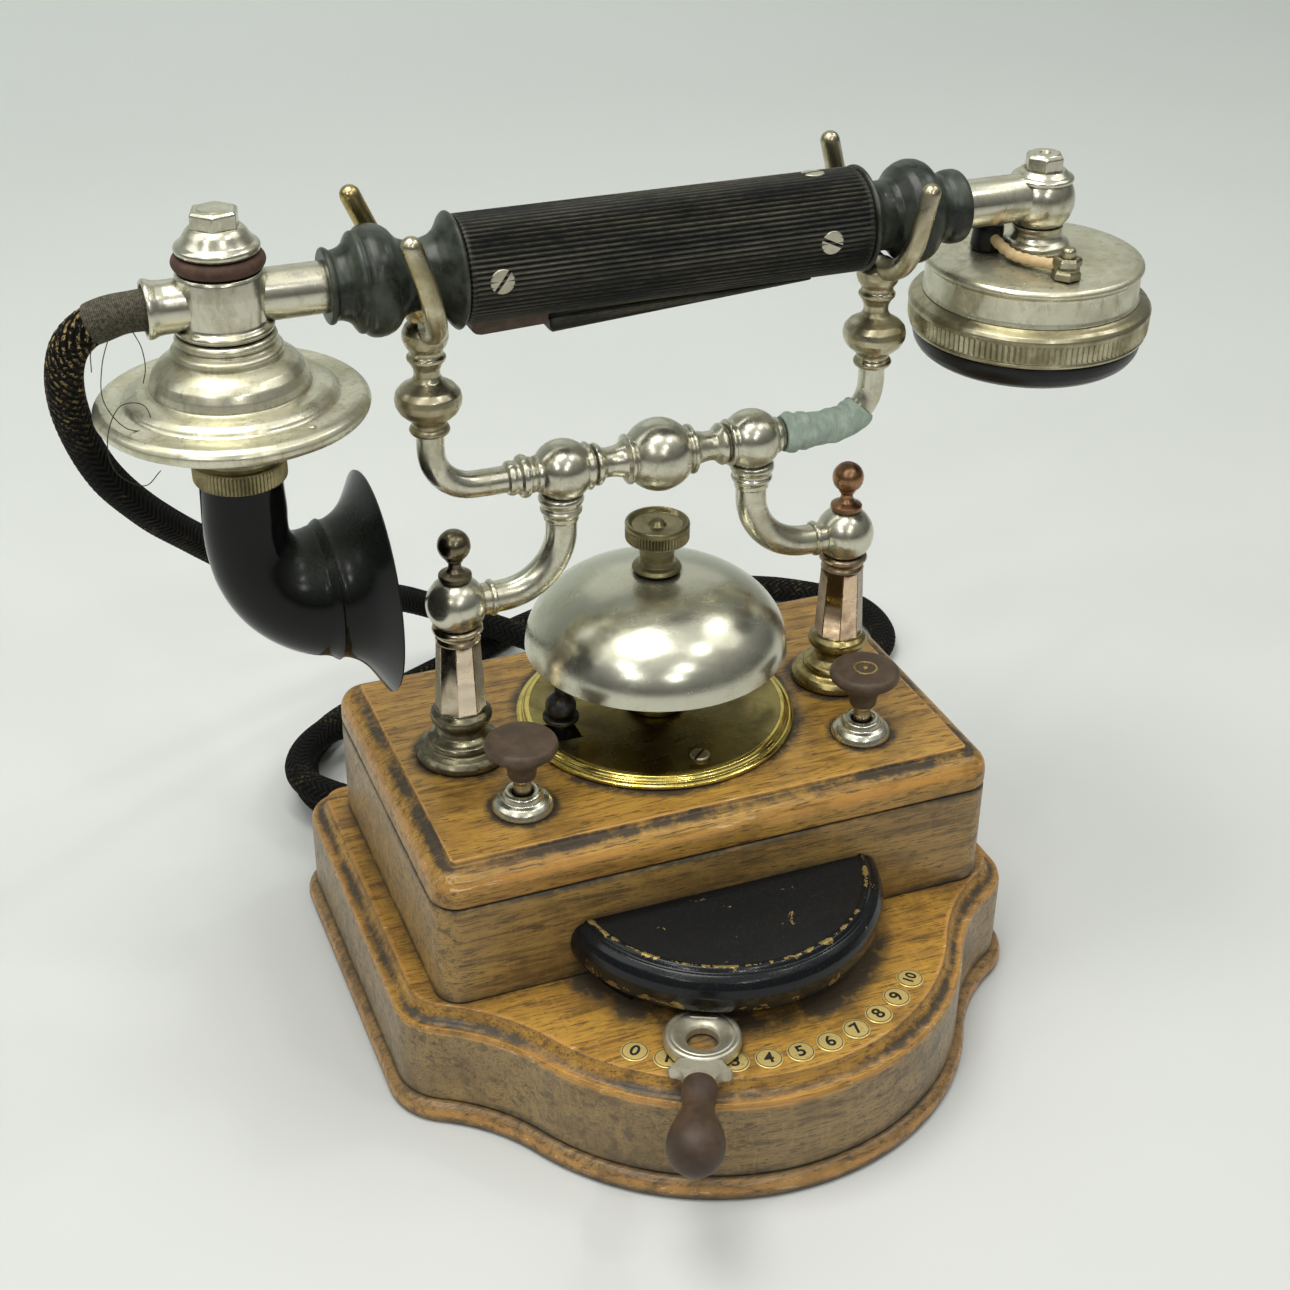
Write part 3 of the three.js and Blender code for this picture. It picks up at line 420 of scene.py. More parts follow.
def metal(name, bright, dull, shade_and_grime=(0.05, 0.042, 0.022), gloss=(0.2, 0.38), patch=9, worn=0.5, crease=2.2,
          stain=0.35, metallic=1.0):
    """Plated or bare metal: dull patches, stains, dark grime and painted shade in the creases, fine scratches and pits.
    """
    s = Shade(name, Metallic=metallic)
    cloud = s.noise(patch, detail=6, rough=0.62, warp=0.4)
    patches = s.ramp(cloud, 0.62 - 0.3 * worn, 0.78 - 0.2 * worn)
    fine = s.noise(1.1, detail=5, rough=0.7)
    # Painted shade with grime: the colour darkens where ambient occlusion finds a crease.
    deep = s.ramp(s.times(s.crease(crease), s.ramp(fine, 0.25, 0.7, 0.6, 1.35)), 0.26, 0.62)
    colour = s.mix(patches, bright, dull)
    runs = s.noise(2.6, stretch=(1, 1, 3), detail=5, rough=0.65, shift=(7, 0, 2))
    colour = s.mix(s.ramp(runs, 0.54, 0.68, 0, stain), colour, (0.3, 0.24, 0.11))
    speck = s.ramp(fine, 0.6, 0.72, 0, 0.5)
    colour = s.mix(speck, colour, tuple(0.5 * c for c in dull))
    colour = s.mix(deep, colour, shade_and_grime)
    smear = s.noise(4, stretch=(3, 1, 1), detail=4, shift=(3, 1, 0))
    rough = s.plus(s.ramp(patches, 0, 1, gloss[0], gloss[1]), s.ramp(smear, 0.4, 0.8, 0, 0.12))
    rough = s.plus(rough, s.times(deep, 0.25))
    scratch = s.noise(0.35, stretch=(1, 1, 7), detail=2)
    normal = s.bump(fine, 0.035, 0.35, s.bump(s.noise(14, detail=3), 0.35, 0.25, s.bump(scratch, 0.01, 0.2)))
    return s.finish(colour, rough, None, normal)


def oak(name, light=(0.47, 0.265, 0.048), mid=(0.315, 0.16, 0.03), rays=0.0, dust=0.0, shift=0.0, feet=()):
    """Waxed oak with its grain along X: dark pores, broad figure, worn edges, grime with painted shade in the hollows,
    and painted shadow with grime round the feet of parts.
    """
    s = Shade(name, Coat_Weight=0.22, Coat_Roughness=0.18, Specular_IOR_Level=0.36)
    fine_grain, broad_grain = (11, 1, 1), (8, 1, 1)
    figure = s.noise(9, stretch=broad_grain, detail=5, rough=0.55, warp=0.6, shift=(shift, shift, shift))
    pores = s.noise(0.55, stretch=fine_grain, detail=4, rough=0.65, warp=0.5, shift=(shift, 2, 1))
    streak = s.noise(2.4, stretch=fine_grain, detail=4, rough=0.7, warp=0.5, shift=(1, shift, 5))
    tone = s.ramp(s.plus(s.times(figure, 0.55), s.times(streak, 0.45)), 0.4, 0.6)
    colour = s.mix(tone, light, mid)
    colour = s.mix(s.ramp(streak, 0.52, 0.64, 0, 0.8), colour, tuple(0.42 * c for c in mid))
    colour = s.mix(s.ramp(pores, 0.545, 0.61, 0, 0.8), colour, (0.05, 0.028, 0.01))
    if rays:
        fleck = s.noise(1.3, stretch=(1, 5, 5), detail=2, shift=(4, 4, shift))
        colour = s.mix(s.ramp(fleck, 0.55, 0.66, 0, rays), colour, tuple(1.3 * c for c in light))
    break_up = s.noise(3.2, stretch=broad_grain, detail=5, rough=0.65, shift=(2, 6, shift))
    edge = s.most(s.mark("wear"), s.ramp(s.crease(2.2, inside=True), 0.5, 0.8, 0, 0.7))
    edge = s.ramp(s.times(edge, s.ramp(break_up, 0.34, 0.62, 0.25, 1.5)), 0.35, 0.75, 0, 0.8)
    colour = s.mix(edge, colour, (0.5, 0.25, 0.06))
    # Pale chips along the worn edges: chipped varnish, and also a painted highlight standing in for glints on the
    # edges.
    chip_and_glint = s.noise(2.2, stretch=broad_grain, detail=6, rough=0.7, shift=(9, 1, 3))
    chip_and_glint = s.times(s.ramp(chip_and_glint, 0.6, 0.62), edge)
    colour = s.mix(chip_and_glint, colour, (0.72, 0.52, 0.27))
    blot = s.noise(19, detail=6, rough=0.65, shift=(shift, 0, 9))
    colour = s.mix(s.ramp(blot, 0.5, 0.68, 0, 0.62), colour, tuple(0.36 * c for c in mid))
    # Painted shade with dirt: near-black along the marked dark lines, in hollows found by ambient occlusion, and round
    # the feet of parts.
    dirt_and_shade = s.most(s.mark("soot"), s.ramp(s.crease(8), 0.22, 0.62))
    # Painted shadow, with dirt, round the feet of the parts that stand on the wood.
    for foot in feet:
        dirt_and_shade = s.most(dirt_and_shade, s.halo(*foot))
    thick = s.times(s.ramp(s.noise(4, detail=6, rough=0.7), 0.3, 0.6, 0.5, 1.3),
                    s.ramp(s.noise(26, detail=3, shift=(shift, 3, 1)), 0.38, 0.56, 0.6, 1.15))
    dirt_and_shade = s.times(dirt_and_shade, thick)
    dirt_and_shade = s.ramp(dirt_and_shade, 0.25, 0.85, 0, 0.92)
    colour = s.mix(dirt_and_shade, colour, (0.03, 0.025, 0.018))
    if dust:
        colour = s.mix(s.ramp(s.noise(24, detail=4), 0.35, 0.7, dust * 0.4, dust), colour, (0.27, 0.23, 0.155))
    rough = s.plus(s.ramp(streak, 0.3, 0.8, 0.34, 0.56), s.times(dirt_and_shade, 0.2))
    normal = s.bump(pores, -0.2, 0.6, s.bump(streak, -0.2, 0.45, s.bump(chip_and_glint, -0.4, 0.5)))
    return s.finish(colour, rough, None, normal)


def plastic(name, base, other, gloss, patch=7, lift=0.2, crease=2.5, pits=0.03, sheen=0.32, rub=None, dust=None):
    """Moulded or turned material: two tones in soft patches, specks, dirt with painted shade in the creases, dust on
    top.
    """
    s = Shade(name, Specular_IOR_Level=sheen)
    cloud = s.noise(patch, detail=6, rough=0.6, warp=0.5)
    fine = s.noise(0.9, detail=5, rough=0.7)
    colour = s.mix(s.ramp(cloud, 0.42, 0.72), base, other)
    colour = s.mix(s.ramp(fine, 0.6, 0.75, 0, lift), colour, tuple(min(1, 2.2 * c) for c in other))
    # Painted shade with dirt: darker in creases found by ambient occlusion.
    colour = s.mix(s.ramp(s.crease(crease), 0.3, 0.8, 0, 0.85), colour, (0.02, 0.018, 0.014))
    if rub:
        edge = s.times(s.ramp(s.crease(1.6, inside=True), 0.42, 0.7), s.ramp(cloud, 0.4, 0.6, 0.3, 1))
        colour = s.mix(edge, colour, rub)
    rough = s.plus(s.ramp(cloud, 0.3, 0.75, gloss[0], gloss[1]), s.ramp(fine, 0.3, 0.8, -0.04, 0.08))
    if dust:
        upward = s.parts(s.node("NewGeometry", out=1))[2]
        settled = s.times(s.ramp(upward, 0.2, 0.95, 0, 0.8), s.ramp(fine, 0.3, 0.7, 0.7, 1.2))
        colour = s.mix(settled, colour, dust)
        rough = s.plus(rough, s.times(settled, 0.3))
    normal = s.bump(fine, pits, 0.5, s.bump(s.noise(5, detail=3), 0.15, 0.3))
    return s.finish(colour, rough, None, normal)


def ribbed(name):
    """Black ebonite whose rib crests are a dusty olive in patches: rubbed wear, and a painted highlight where the
    crests catch the light.
    """
    s = Shade(name, Specular_IOR_Level=0.25)
    _, y, z = s.parts(s.node("VectorMath", {0: s.where, 1: (0, 0, -HANDSET_Z * MM)}, operation="ADD"))
    turn = s.math("ARCTAN2", z, y)
    part = s.math("FRACT", s.times(turn, GRIP_RIBS / (2 * math.pi)))
    crest = s.ramp(s.math("ABSOLUTE", s.math("SUBTRACT", part, 0.5)), 0.05, 0.34, 1, 0)
    rubbed = s.noise(9, stretch=(4, 1, 1), detail=5, rough=0.6)
    fine = s.noise(0.8, stretch=(3, 1, 1), detail=4, rough=0.7)
    # Painted highlight with rubbed wear: lighter olive along the rib crests, in patches.
    share = s.times(crest, s.ramp(s.times(rubbed, s.ramp(fine, 0.3, 0.7, 0.8, 1.2)), 0.36, 0.66))
    colour = s.mix(s.ramp(fine, 0.4, 0.7), (0.0035, 0.0038, 0.0033), (0.009, 0.0095, 0.008))
    colour = s.mix(share, colour, (0.085, 0.08, 0.05))
    normal = s.bump(crest, 0.12, 0.6, s.bump(fine, 0.03, 0.4))
    return s.finish(colour, s.ramp(fine, 0.3, 0.7, 0.36, 0.55), None, normal)


def japanned(name):
    """Black japan: thin gloss that has chipped to the brass along its bead and rim."""
    s = Shade(name, Specular_IOR_Level=0.26, Coat_Weight=0.09, Coat_Roughness=0.08)
    fine = s.noise(0.8, detail=6, rough=0.7)
    cloud = s.noise(7.5, detail=5, rough=0.68, warp=0.8, shift=(5, 2, 0))
    worn = s.plus(cloud, s.ramp(s.mark("wear"), 0, 1, -0.07, 0.13))
    chips = s.times(s.ramp(worn, 0.615, 0.635), s.ramp(fine, 0.34, 0.42))
    colour = s.mix(s.ramp(fine, 0.55, 0.78), (0.0052, 0.0062, 0.0072), (0.022, 0.024, 0.024))
    colour = s.mix(chips, colour, (0.34, 0.25, 0.09))
    metallic = s.times(chips, 0.8)
    flat = s.ramp(s.mark("flat"), 0, 1, 0.0, 0.2)
    rough = s.plus(s.ramp(fine, 0.3, 0.8, 0.16, 0.3), s.plus(s.times(chips, 0.25), flat))
    normal = s.bump(s.math("SUBTRACT", s.times(fine, 0.3), chips), 0.12, 0.6, s.bump(cloud, 0.3, 0.2))
    return s.finish(colour, rough, metallic, normal)


def engraved(name):
    """Small brass discs: rubbed, with dark filling in patches and painted shade round their rims."""
    s = Shade(name)
    cloud = s.noise(2.2, detail=6, rough=0.7, warp=0.5)
    fine = s.noise(0.5, detail=4, rough=0.7)
    filth = s.ramp(s.plus(s.times(cloud, 0.7), s.times(fine, 0.3)), 0.54, 0.66)
    colour = s.mix(filth, (0.74, 0.56, 0.2), (0.2, 0.14, 0.045))
    # Painted shade: darker in creases found by ambient occlusion, round the rims and engraved rings.
    colour = s.mix(s.ramp(s.crease(0.7), 0.25, 0.6), colour, (0.03, 0.024, 0.014))
    metallic = s.ramp(filth, 0, 1, 0.55, 0.2)
    return s.finish(colour, s.ramp(filth, 0, 1, 0.3, 0.6), metallic, s.bump(fine, 0.04, 0.5))


def braided(name):
    """Cotton braid: two sets of strands that cross in a herringbone, black with golden threads."""
    s = Shade(name, Specular_IOR_Level=0.1)
    around, along, _ = s.parts(s.node("UVMap", uv_map="lay"))
    turns = s.times(around, float(BRAID_STRANDS))
    rise = s.math("DIVIDE", along, BRAID_PITCH * MM / 4)
    plus = s.plus(turns, rise)
    minus = s.math("SUBTRACT", turns, rise)
    one = s.math("ABSOLUTE", s.math("SUBTRACT", s.math("FRACT", plus), 0.5))
    two = s.math("ABSOLUTE", s.math("SUBTRACT", s.math("FRACT", minus), 0.5))
    over = s.math("GREATER_THAN", s.math("PINGPONG", s.times(s.plus(plus, minus), 0.5), 1.0), 0.5)
    height = s.mix(over, s.ramp(one, 0, 0.5, 1, 0), s.ramp(two, 0, 0.5, 1, 0))
    fuzz = s.noise(0.25, detail=4, rough=0.7)
    fleck = s.noise(1.6, detail=3, rough=0.6, warp=1.0)
    patch = s.noise(13, detail=3)
    gold = s.times(s.ramp(fleck, 0.54, 0.6), s.ramp(patch, 0.5, 0.62))
    height_above = s.parts(s.where)[2]
    top = s.times(s.ramp(height_above, 0.184, 0.226), s.ramp(fleck, 0.51, 0.59))
    gold = s.times(s.most(gold, top), s.ramp(one, 0.18, 0.3, 1, 0))
    # Painted shade: the braid is darker where its strands dip under the crossing ones.
    colour = s.mix(s.ramp(height, 0.1, 0.9), (0.0015, 0.0015, 0.0014), (0.008, 0.0078, 0.0068))
    colour = s.mix(s.ramp(fuzz, 0.58, 0.75, 0, 0.5), colour, (0.015, 0.015, 0.012))
    colour = s.mix(s.times(gold, s.ramp(height_above, 0.12, 0.2, 0.2, 1)), colour, (0.36, 0.26, 0.1))
    normal = s.bump(height, 0.45, 0.9, s.bump(fuzz, 0.12, 0.6))
    return s.finish(colour, s.ramp(fuzz, 0.3, 0.7, 0.6, 0.9), None, normal)


WINDING = 0.0002    # half the spacing of the whipping thread, in metres


def ribbed_thread(name):
    """Fine thread wound round the cord, ring against ring."""
    s = Shade(name, Specular_IOR_Level=0.2)
    around, along, _ = s.parts(s.node("UVMap", uv_map="lay"))
    ring = s.math("PINGPONG", s.plus(along, s.times(around, 2 * WINDING)), WINDING)
    height = s.ramp(ring, 0, WINDING)
    fine = s.noise(0.8, detail=5, rough=0.7)
    colour = s.mix(s.ramp(fine, 0.4, 0.65), (0.035, 0.033, 0.024), (0.15, 0.132, 0.085))
    # Painted shade: darker in the grooves between the turns of thread.
    colour = s.mix(s.ramp(height, 0, 0.5, 0.7, 0), colour, (0.01, 0.01, 0.009))
    return s.finish(colour, s.ramp(fine, 0.3, 0.7, 0.5, 0.75), None, s.bump(height, 0.12, 0.8))


def wrapping(name):
    """Pale green wrapping tape: matt, dusty, with soft folds."""
    s = Shade(name, Roughness=0.8)
    folds = s.noise(5, stretch=(0.5, 1, 1), detail=5, rough=0.6, warp=0.8)
    fine = s.noise(0.6, detail=5, rough=0.7)
    colour = s.mix(s.ramp(folds, 0.36, 0.66), (0.27, 0.345, 0.275), (0.42, 0.5, 0.42))
    colour = s.mix(s.ramp(fine, 0.6, 0.75, 0, 0.5), colour, (0.56, 0.62, 0.54))
    # Painted shade: darker in creases found by ambient occlusion.
    colour = s.mix(s.ramp(s.crease(1.5), 0.35, 0.8, 0, 0.8), colour, (0.06, 0.09, 0.075))
    normal = s.bump(folds, 0.5, 0.7, s.bump(fine, 0.08, 0.5))
    return s.finish(colour, s.ramp(fine, 0.3, 0.7, 0.65, 0.85), None, normal)


NICKEL = metal("nickel_bright", (0.64, 0.62, 0.5), (0.48, 0.455, 0.33), gloss=(0.19, 0.35), worn=0.5, metallic=0.93)
NICKEL_CASE = metal("nickel_case", (0.68, 0.66, 0.51), (0.5, 0.475, 0.335), gloss=(0.25, 0.42), patch=11,
    worn=0.65, stain=0.5, metallic=0.84)
NICKEL_GONG = metal("nickel_gong", (0.62, 0.61, 0.49), (0.53, 0.515, 0.39), gloss=(0.2, 0.26), patch=26, worn=0.4,
                    stain=0.1, metallic=0.93)
NICKEL_WORN = metal("nickel_worn", (0.53, 0.485, 0.35), (0.36, 0.31, 0.18), gloss=(0.2, 0.4), worn=0.7)
NICKEL_MATT = metal("nickel_rubbed", (0.56, 0.53, 0.42), (0.42, 0.39, 0.29), gloss=(0.33, 0.48), worn=0.6,
                    metallic=0.84)
NICKEL_PINK = metal("nickel_pinkish", (0.54, 0.455, 0.34), (0.38, 0.31, 0.2), gloss=(0.17, 0.34), worn=0.6)
NICKEL_COPPER = metal("nickel_coppery", (0.43, 0.33, 0.22), (0.25, 0.175, 0.11), gloss=(0.18, 0.38), worn=0.7)
COPPER = metal("copper_worn", (0.38, 0.21, 0.11), (0.17, 0.09, 0.05), gloss=(0.22, 0.42), worn=0.7)
FOOT = metal("foot_tarnished", (0.3, 0.27, 0.17), (0.11, 0.1, 0.07), gloss=(0.18, 0.42), worn=0.9, patch=6)
FOOT_BRASSY = metal("foot_brassy", (0.42, 0.33, 0.13), (0.17, 0.14, 0.07), gloss=(0.18, 0.42), worn=0.8, patch=6)
DARK = metal("finial_dark", (0.2, 0.17, 0.11), (0.08, 0.07, 0.045), gloss=(0.2, 0.42), worn=0.7)
BRASS = metal("brass_plain", (0.62, 0.45, 0.15), (0.4, 0.28, 0.09), gloss=(0.2, 0.4))
PLATE = metal("brass_plate", (0.31, 0.25, 0.085), (0.17, 0.135, 0.045), gloss=(0.2, 0.4), patch=14, worn=0.6,
              shade_and_grime=(0.05, 0.04, 0.015), crease=6)
RIM = metal("brass_rim", (0.72, 0.58, 0.16), (0.5, 0.38, 0.09), gloss=(0.12, 0.28), patch=7, worn=0.5, crease=1.4)
PRONG = metal("prong_tip_brassy", (0.5, 0.4, 0.18), (0.34, 0.27, 0.12), gloss=(0.22, 0.4), worn=0.6)
KNURL = metal("knurl_brassy", (0.47, 0.435, 0.3), (0.28, 0.25, 0.15), gloss=(0.22, 0.4), worn=0.75, crease=1.2)
IRON = metal("iron_black", (0.09, 0.09, 0.09), (0.04, 0.038, 0.036), gloss=(0.35, 0.6))
# Round feet of the parts on the lid, as (x, y, radius, width): the oak is painted with shadow and dirt round each.
LID_FEET = ((-POST_X, 0, 13.5, 5), (POST_X, 0, 13.5, 5), (0, 0, 42, 5), (-BUTTON_X, BUTTON_Y, 8.4, 4),
    (BUTTON_X, BUTTON_Y, 8.4, 4))
OAK_TOP = oak("oak_top", shift=1.3, feet=LID_FEET)
OAK_FRONT = oak("oak_box", light=(0.38, 0.225, 0.05), mid=(0.245, 0.135, 0.032), rays=0.15, dust=0.14, shift=4.1)
OAK_PLINTH = oak("oak_plinth", light=(0.46, 0.25, 0.035), mid=(0.3, 0.15, 0.025), rays=0.2, dust=0.06, shift=7.7,
                 feet=((0, COVER_Y, 47, 8),))
OAK_WALL = oak("oak_plinth_wall", light=(0.33, 0.21, 0.065), mid=(0.21, 0.125, 0.042), rays=0.32, dust=0.26,
    shift=3.3)
OAK_BOARD = oak("oak_board", light=(0.33, 0.18, 0.045), mid=(0.2, 0.105, 0.03), dust=0.15, shift=2.9)
JAPAN = japanned("japan_black")
RIBBED = ribbed("ebonite_ribbed")
EBONITE = plastic("ebonite_turned", (0.0135, 0.016, 0.0125), (0.056, 0.066, 0.05), (0.24, 0.4), patch=9, crease=1.5,
                  rub=(0.15, 0.14, 0.095))
GLOSS = plastic("black_gloss", (0.0032, 0.0036, 0.0034), (0.0055, 0.006, 0.0056), (0.1, 0.17), patch=30, lift=0.03,
                pits=0.006, sheen=0.23, dust=(0.042, 0.047, 0.039))
EARCAP = plastic("ebonite_black", (0.004, 0.0044, 0.004), (0.01, 0.0105, 0.0095), (0.26, 0.4), patch=16, lift=0.05)
FIBRE = plastic("fibre_brown", (0.062, 0.04, 0.025), (0.11, 0.074, 0.047), (0.42, 0.58), patch=5, lift=0.2)
FIBRE_RED = plastic("fibre_handle", (0.05, 0.031, 0.02), (0.09, 0.054, 0.033), (0.42, 0.58), patch=7, lift=0.12)
RUBBER = plastic("rubber_red", (0.055, 0.027, 0.017), (0.1, 0.056, 0.036), (0.6, 0.8), patch=4)
WRAP = wrapping("wrap_green")
OLIVE = metal("knurl_olive", (0.3, 0.26, 0.14), (0.17, 0.145, 0.075), gloss=(0.24, 0.42), worn=0.75, crease=1.2)
DISC = engraved("disc_brass")
INK = plastic("ink_black", (0.006, 0.006, 0.005), (0.016, 0.014, 0.01), (0.5, 0.7))
SILK = plastic("coil_silk", (0.03, 0.075, 0.035), (0.06, 0.12, 0.06), (0.55, 0.75), patch=2)
TAN = plastic("cloth_tan", (0.55, 0.39, 0.2), (0.66, 0.5, 0.3), (0.75, 0.9), patch=3, pits=0.12)
BRAID = braided("braid_black")
THREAD = ribbed_thread("thread_dark")

# ---- camera, floor and light ----------------------------------------------------------------------------
YAW, PITCH, ROLL = 0.3833, 0.5407, 0.0109
CAMERA_PLACE = (-0.19684, -0.4796, 0.41769)
FOCAL_LENGTH, SENSOR_WIDTH = 56.5, 36


def aim_camera():
    forward = Vector((math.sin(YAW) * math.cos(PITCH), math.cos(YAW) * math.cos(PITCH), -math.sin(PITCH)))
    right = Vector((math.cos(YAW), -math.sin(YAW), 0))
    up = right.cross(forward)
    across = right * math.cos(ROLL) + up * math.sin(ROLL)
    upright = up * math.cos(ROLL) - right * math.sin(ROLL)
    data = bpy.data.cameras.new("camera")
    data.lens, data.sensor_width = FOCAL_LENGTH, SENSOR_WIDTH
    data.clip_start, data.clip_end = 0.02, 30
    camera = bpy.data.objects.new("camera", data)
    turn = Matrix((across, upright, -forward)).transposed().to_4x4()
    turn.translation = Vector(CAMERA_PLACE)
    camera.matrix_world = turn
    bpy.context.scene.collection.objects.link(camera)
    bpy.context.scene.camera = camera


def lamp(name, place, target, size, watts, colour=(1, 1, 1)):
    data = bpy.data.lights.new(name, "AREA")
    data.shape = "RECTANGLE"
    data.size, data.size_y = size
    data.energy = watts
    data.color = colour
    light = bpy.data.objects.new(name, data)
    place = Vector(place)
    light.location = place
    light.visible_camera = False
    light.rotation_euler = (Vector(target) - place).to_track_quat("-Z", "Y").to_euler()
    bpy.context.scene.collection.objects.link(light)


def make_stage():
    """A pale table top that sweeps up far behind, as a studio paper does."""
    s = Shade("paper")
    cloud = s.noise(160, detail=3)
    fine = s.noise(1.2, detail=4, rough=0.6)
    near = s.mix(s.ramp(cloud, 0.3, 0.7), (0.562, 0.566, 0.553), (0.589, 0.593, 0.58))
    # Painted light: the paper turns lighter and greener farther back.
    colour = s.mix(s.ramp(s.parts(s.where)[1], -0.3, 1.5), near, (0.647, 0.688, 0.661))
    paper = s.finish(colour, s.ramp(fine, 0.3, 0.7, 0.55, 0.7), None, s.bump(fine, 0.03, 0.4))
    profile = [(-7.0, 0.0), (-2.0, 0.0), (0.9, 0.0)]
    for i in range(1, 13):
        a = math.pi / 2 * i / 12
        profile.append((0.9 + 0.9 * math.sin(a), 0.9 - 0.9 * math.cos(a)))
    profile.append((1.8, 3.4))
    points = [(x, y, z) for x in (-7.0, 7.0) for y, z in profile]
    n = len(profile)
    faces = [(i, i + 1, n + i + 1, n + i) for i in range(n - 1)]
    mesh = bpy.data.meshes.new("floor")
    mesh.from_pydata(points, [], faces)
    mesh.polygons.foreach_set("use_smooth", [True] * len(mesh.polygons))
    mesh.materials.append(paper)
    floor = bpy.data.objects.new("floor", mesh)
    bpy.context.scene.collection.objects.link(floor)


def make_world():
    """A dim room: pale above, darker below."""
    world = bpy.data.worlds.new("room")
    world.use_nodes = True
    tree = world.node_tree
    tree.nodes.clear()
    place = tree.nodes.new("ShaderNodeTexCoord")
    split = tree.nodes.new("ShaderNodeSeparateXYZ")
    ramp = tree.nodes.new("ShaderNodeValToRGB")
    back = tree.nodes.new("ShaderNodeBackground")
    out = tree.nodes.new("ShaderNodeOutputWorld")
    tree.links.new(place.outputs["Generated"], split.inputs[0])
    tree.links.new(split.outputs["Z"], ramp.inputs[0])
    tree.links.new(ramp.outputs[0], back.inputs[0])
    tree.links.new(back.outputs[0], out.inputs[0])
    stops = ramp.color_ramp.elements
    stops[0].position, stops[0].color = 0.0, (0.05, 0.052, 0.05, 1)
    stops[1].position, stops[1].color = 0.85, (0.8, 0.81, 0.78, 1)
    low = stops.new(0.5)
    low.color = (0.3, 0.305, 0.3, 1)
    high = stops.new(0.66)
    high.color = (0.42, 0.43, 0.415, 1)
    back.inputs[1].default_value = 0.86
    bpy.context.scene.world = world


aim_camera()
make_stage()
make_world()
lamp("softbox", (-0.26, -0.02, 1.25), (0, 0, 0.1), (0.8, 0.55), 9.4, (1.0, 0.998, 0.95))
lamp("sky_left", (-1.5, 0.3, 1.5), (0, 0, 0.1), (1.2, 1.2), 6.5, (0.97, 1.0, 0.98))
lamp("sky_back", (0.5, 1.4, 1.15), (0, 0, 0.12), (1.6, 1.1), 1.9, (1.0, 1.0, 0.94))
lamp("sky_right", (1.4, -0.2, 1.7), (0, 0, 0.1), (1.0, 1.0), 3.4, (1.0, 1.0, 0.96))
ROOM_LAMPS = [(0.354, -0.365, 0.861), (-0.548, -0.386, 0.742), (0.101, -0.682, 0.724), (-0.551, -0.591, 0.59),
              (-0.058, -0.826, 0.561), (0.559, 0.031, 0.828)]
for number, way in enumerate(ROOM_LAMPS):
    lamp(f"room_lamp_{number}", Vector(way) * 2.0, (0, 0, 0.12), (0.1, 0.1), 2.2)
bpy.context.scene.view_settings.view_transform = "Standard"

# ---- the cord -----------------------------------------------------------------------------------------------
CORD_ROUTE = [
    (-137.5, 0, 231.5), (-138.7, 0, 231.5), (-143.4, 0.2, 231.1), (-148, 0.9, 229.7), (-152, 2.6, 226.9),
    (-155.2, 5.2, 222.4), (-157, 9.2, 215), (-156.9, 15.6, 203.6), (-154.2, 22.4, 189.6), (-148.8, 30, 174.6),
    (-138, 43, 156), (-121.5, 66, 132), (-100, 95, 103), (-76, 124, 78), (-52, 149, 56), (-29, 169, 37),
    (-6, 176.4, 21), (11, 172.6, 12.6), (26, 165, 7), (46, 149, 5.2), (70, 127, 5.2), (98, 111, 5.2),
    (130, 112, 5.2), (151, 129, 5.2), (153, 154, 5.2), (133, 177, 5.2), (97, 193, 5.2), (56, 198, 5.2),
    (20, 189, 5.2), (-12, 173, 5.2), (-42, 159, 5.2), (-68, 146, 5.2), (-83, 128, 5.2), (-86.6, 113, 5.2),
    (-84.6, 100, 5.2), (-76.6, 88, 5.2), (-62.8, 82.2, 5.2), (-48.3, 85.3, 5.2), (-38.3, 96.4, 5.2),
    (-36.4, 111.3, 5.4), (-43.3, 124.7, 7), (-56, 131.4, 10.6), (-69.4, 129.8, 14.4), (-80.6, 121.6, 16.1),
    (-88, 112, 16.4), (-90.8, 102.6, 16.5), (-89.2, 93.6, 16.6), (-84.4, 86.2, 16.8), (-79.2, 79.8, 16.9),
    (-76.6, 75, 17), (-76, 72, 17), (-76, 70.6, 17),
]
CORD_RADIUS = 5.0
CORD_STEP = 0.9


def lay_uv(work, sides, lengths, first):
    """UV: once round the tube across, and metres along it; first is the point where its rings begin."""
    mesh = work.data
    layer = mesh.uv_layers.new(name="lay")
    for face in mesh.polygons:
        angles, ring_of = [], []
        for index in face.vertices:
            ring, k = divmod(index - first, sides)
            ring_of.append(min(max(ring, 0), len(lengths) - 1))
            angles.append(k / sides)
        wraps = max(angles) - min(angles) > 0.5
        for loop, share, ring in zip(face.loop_indices, angles, ring_of):
            around = share + 1 if wraps and share < 0.5 else share
            layer.data[loop].uv = (around, lengths[ring] * MM)


def make_cord():
    line = smooth_path(CORD_ROUTE, CORD_STEP)
    sides = 36
    step = (line[1] - line[0]).length
    lengths = [i * step for i in range(len(line))]

    def plait(i, angle):
        turns = angle / (2 * math.pi) * BRAID_STRANDS
        rise = lengths[i] / (BRAID_PITCH / 4)
        one = abs((turns + rise) % 1 - 0.5)
        two = abs((turns - rise) % 1 - 0.5)
        return -0.32 * min(one, two) * 2 + 0.1

    tube = swept(line, CORD_RADIUS - 0.12, sides, ends="flat", relief=plait)
    work = piece("cord", tube, BRAID, None, "braid", "handset_cord", sharp=80)
    lay_uv(work, sides, lengths, 1)
    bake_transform(work)


make_cord()

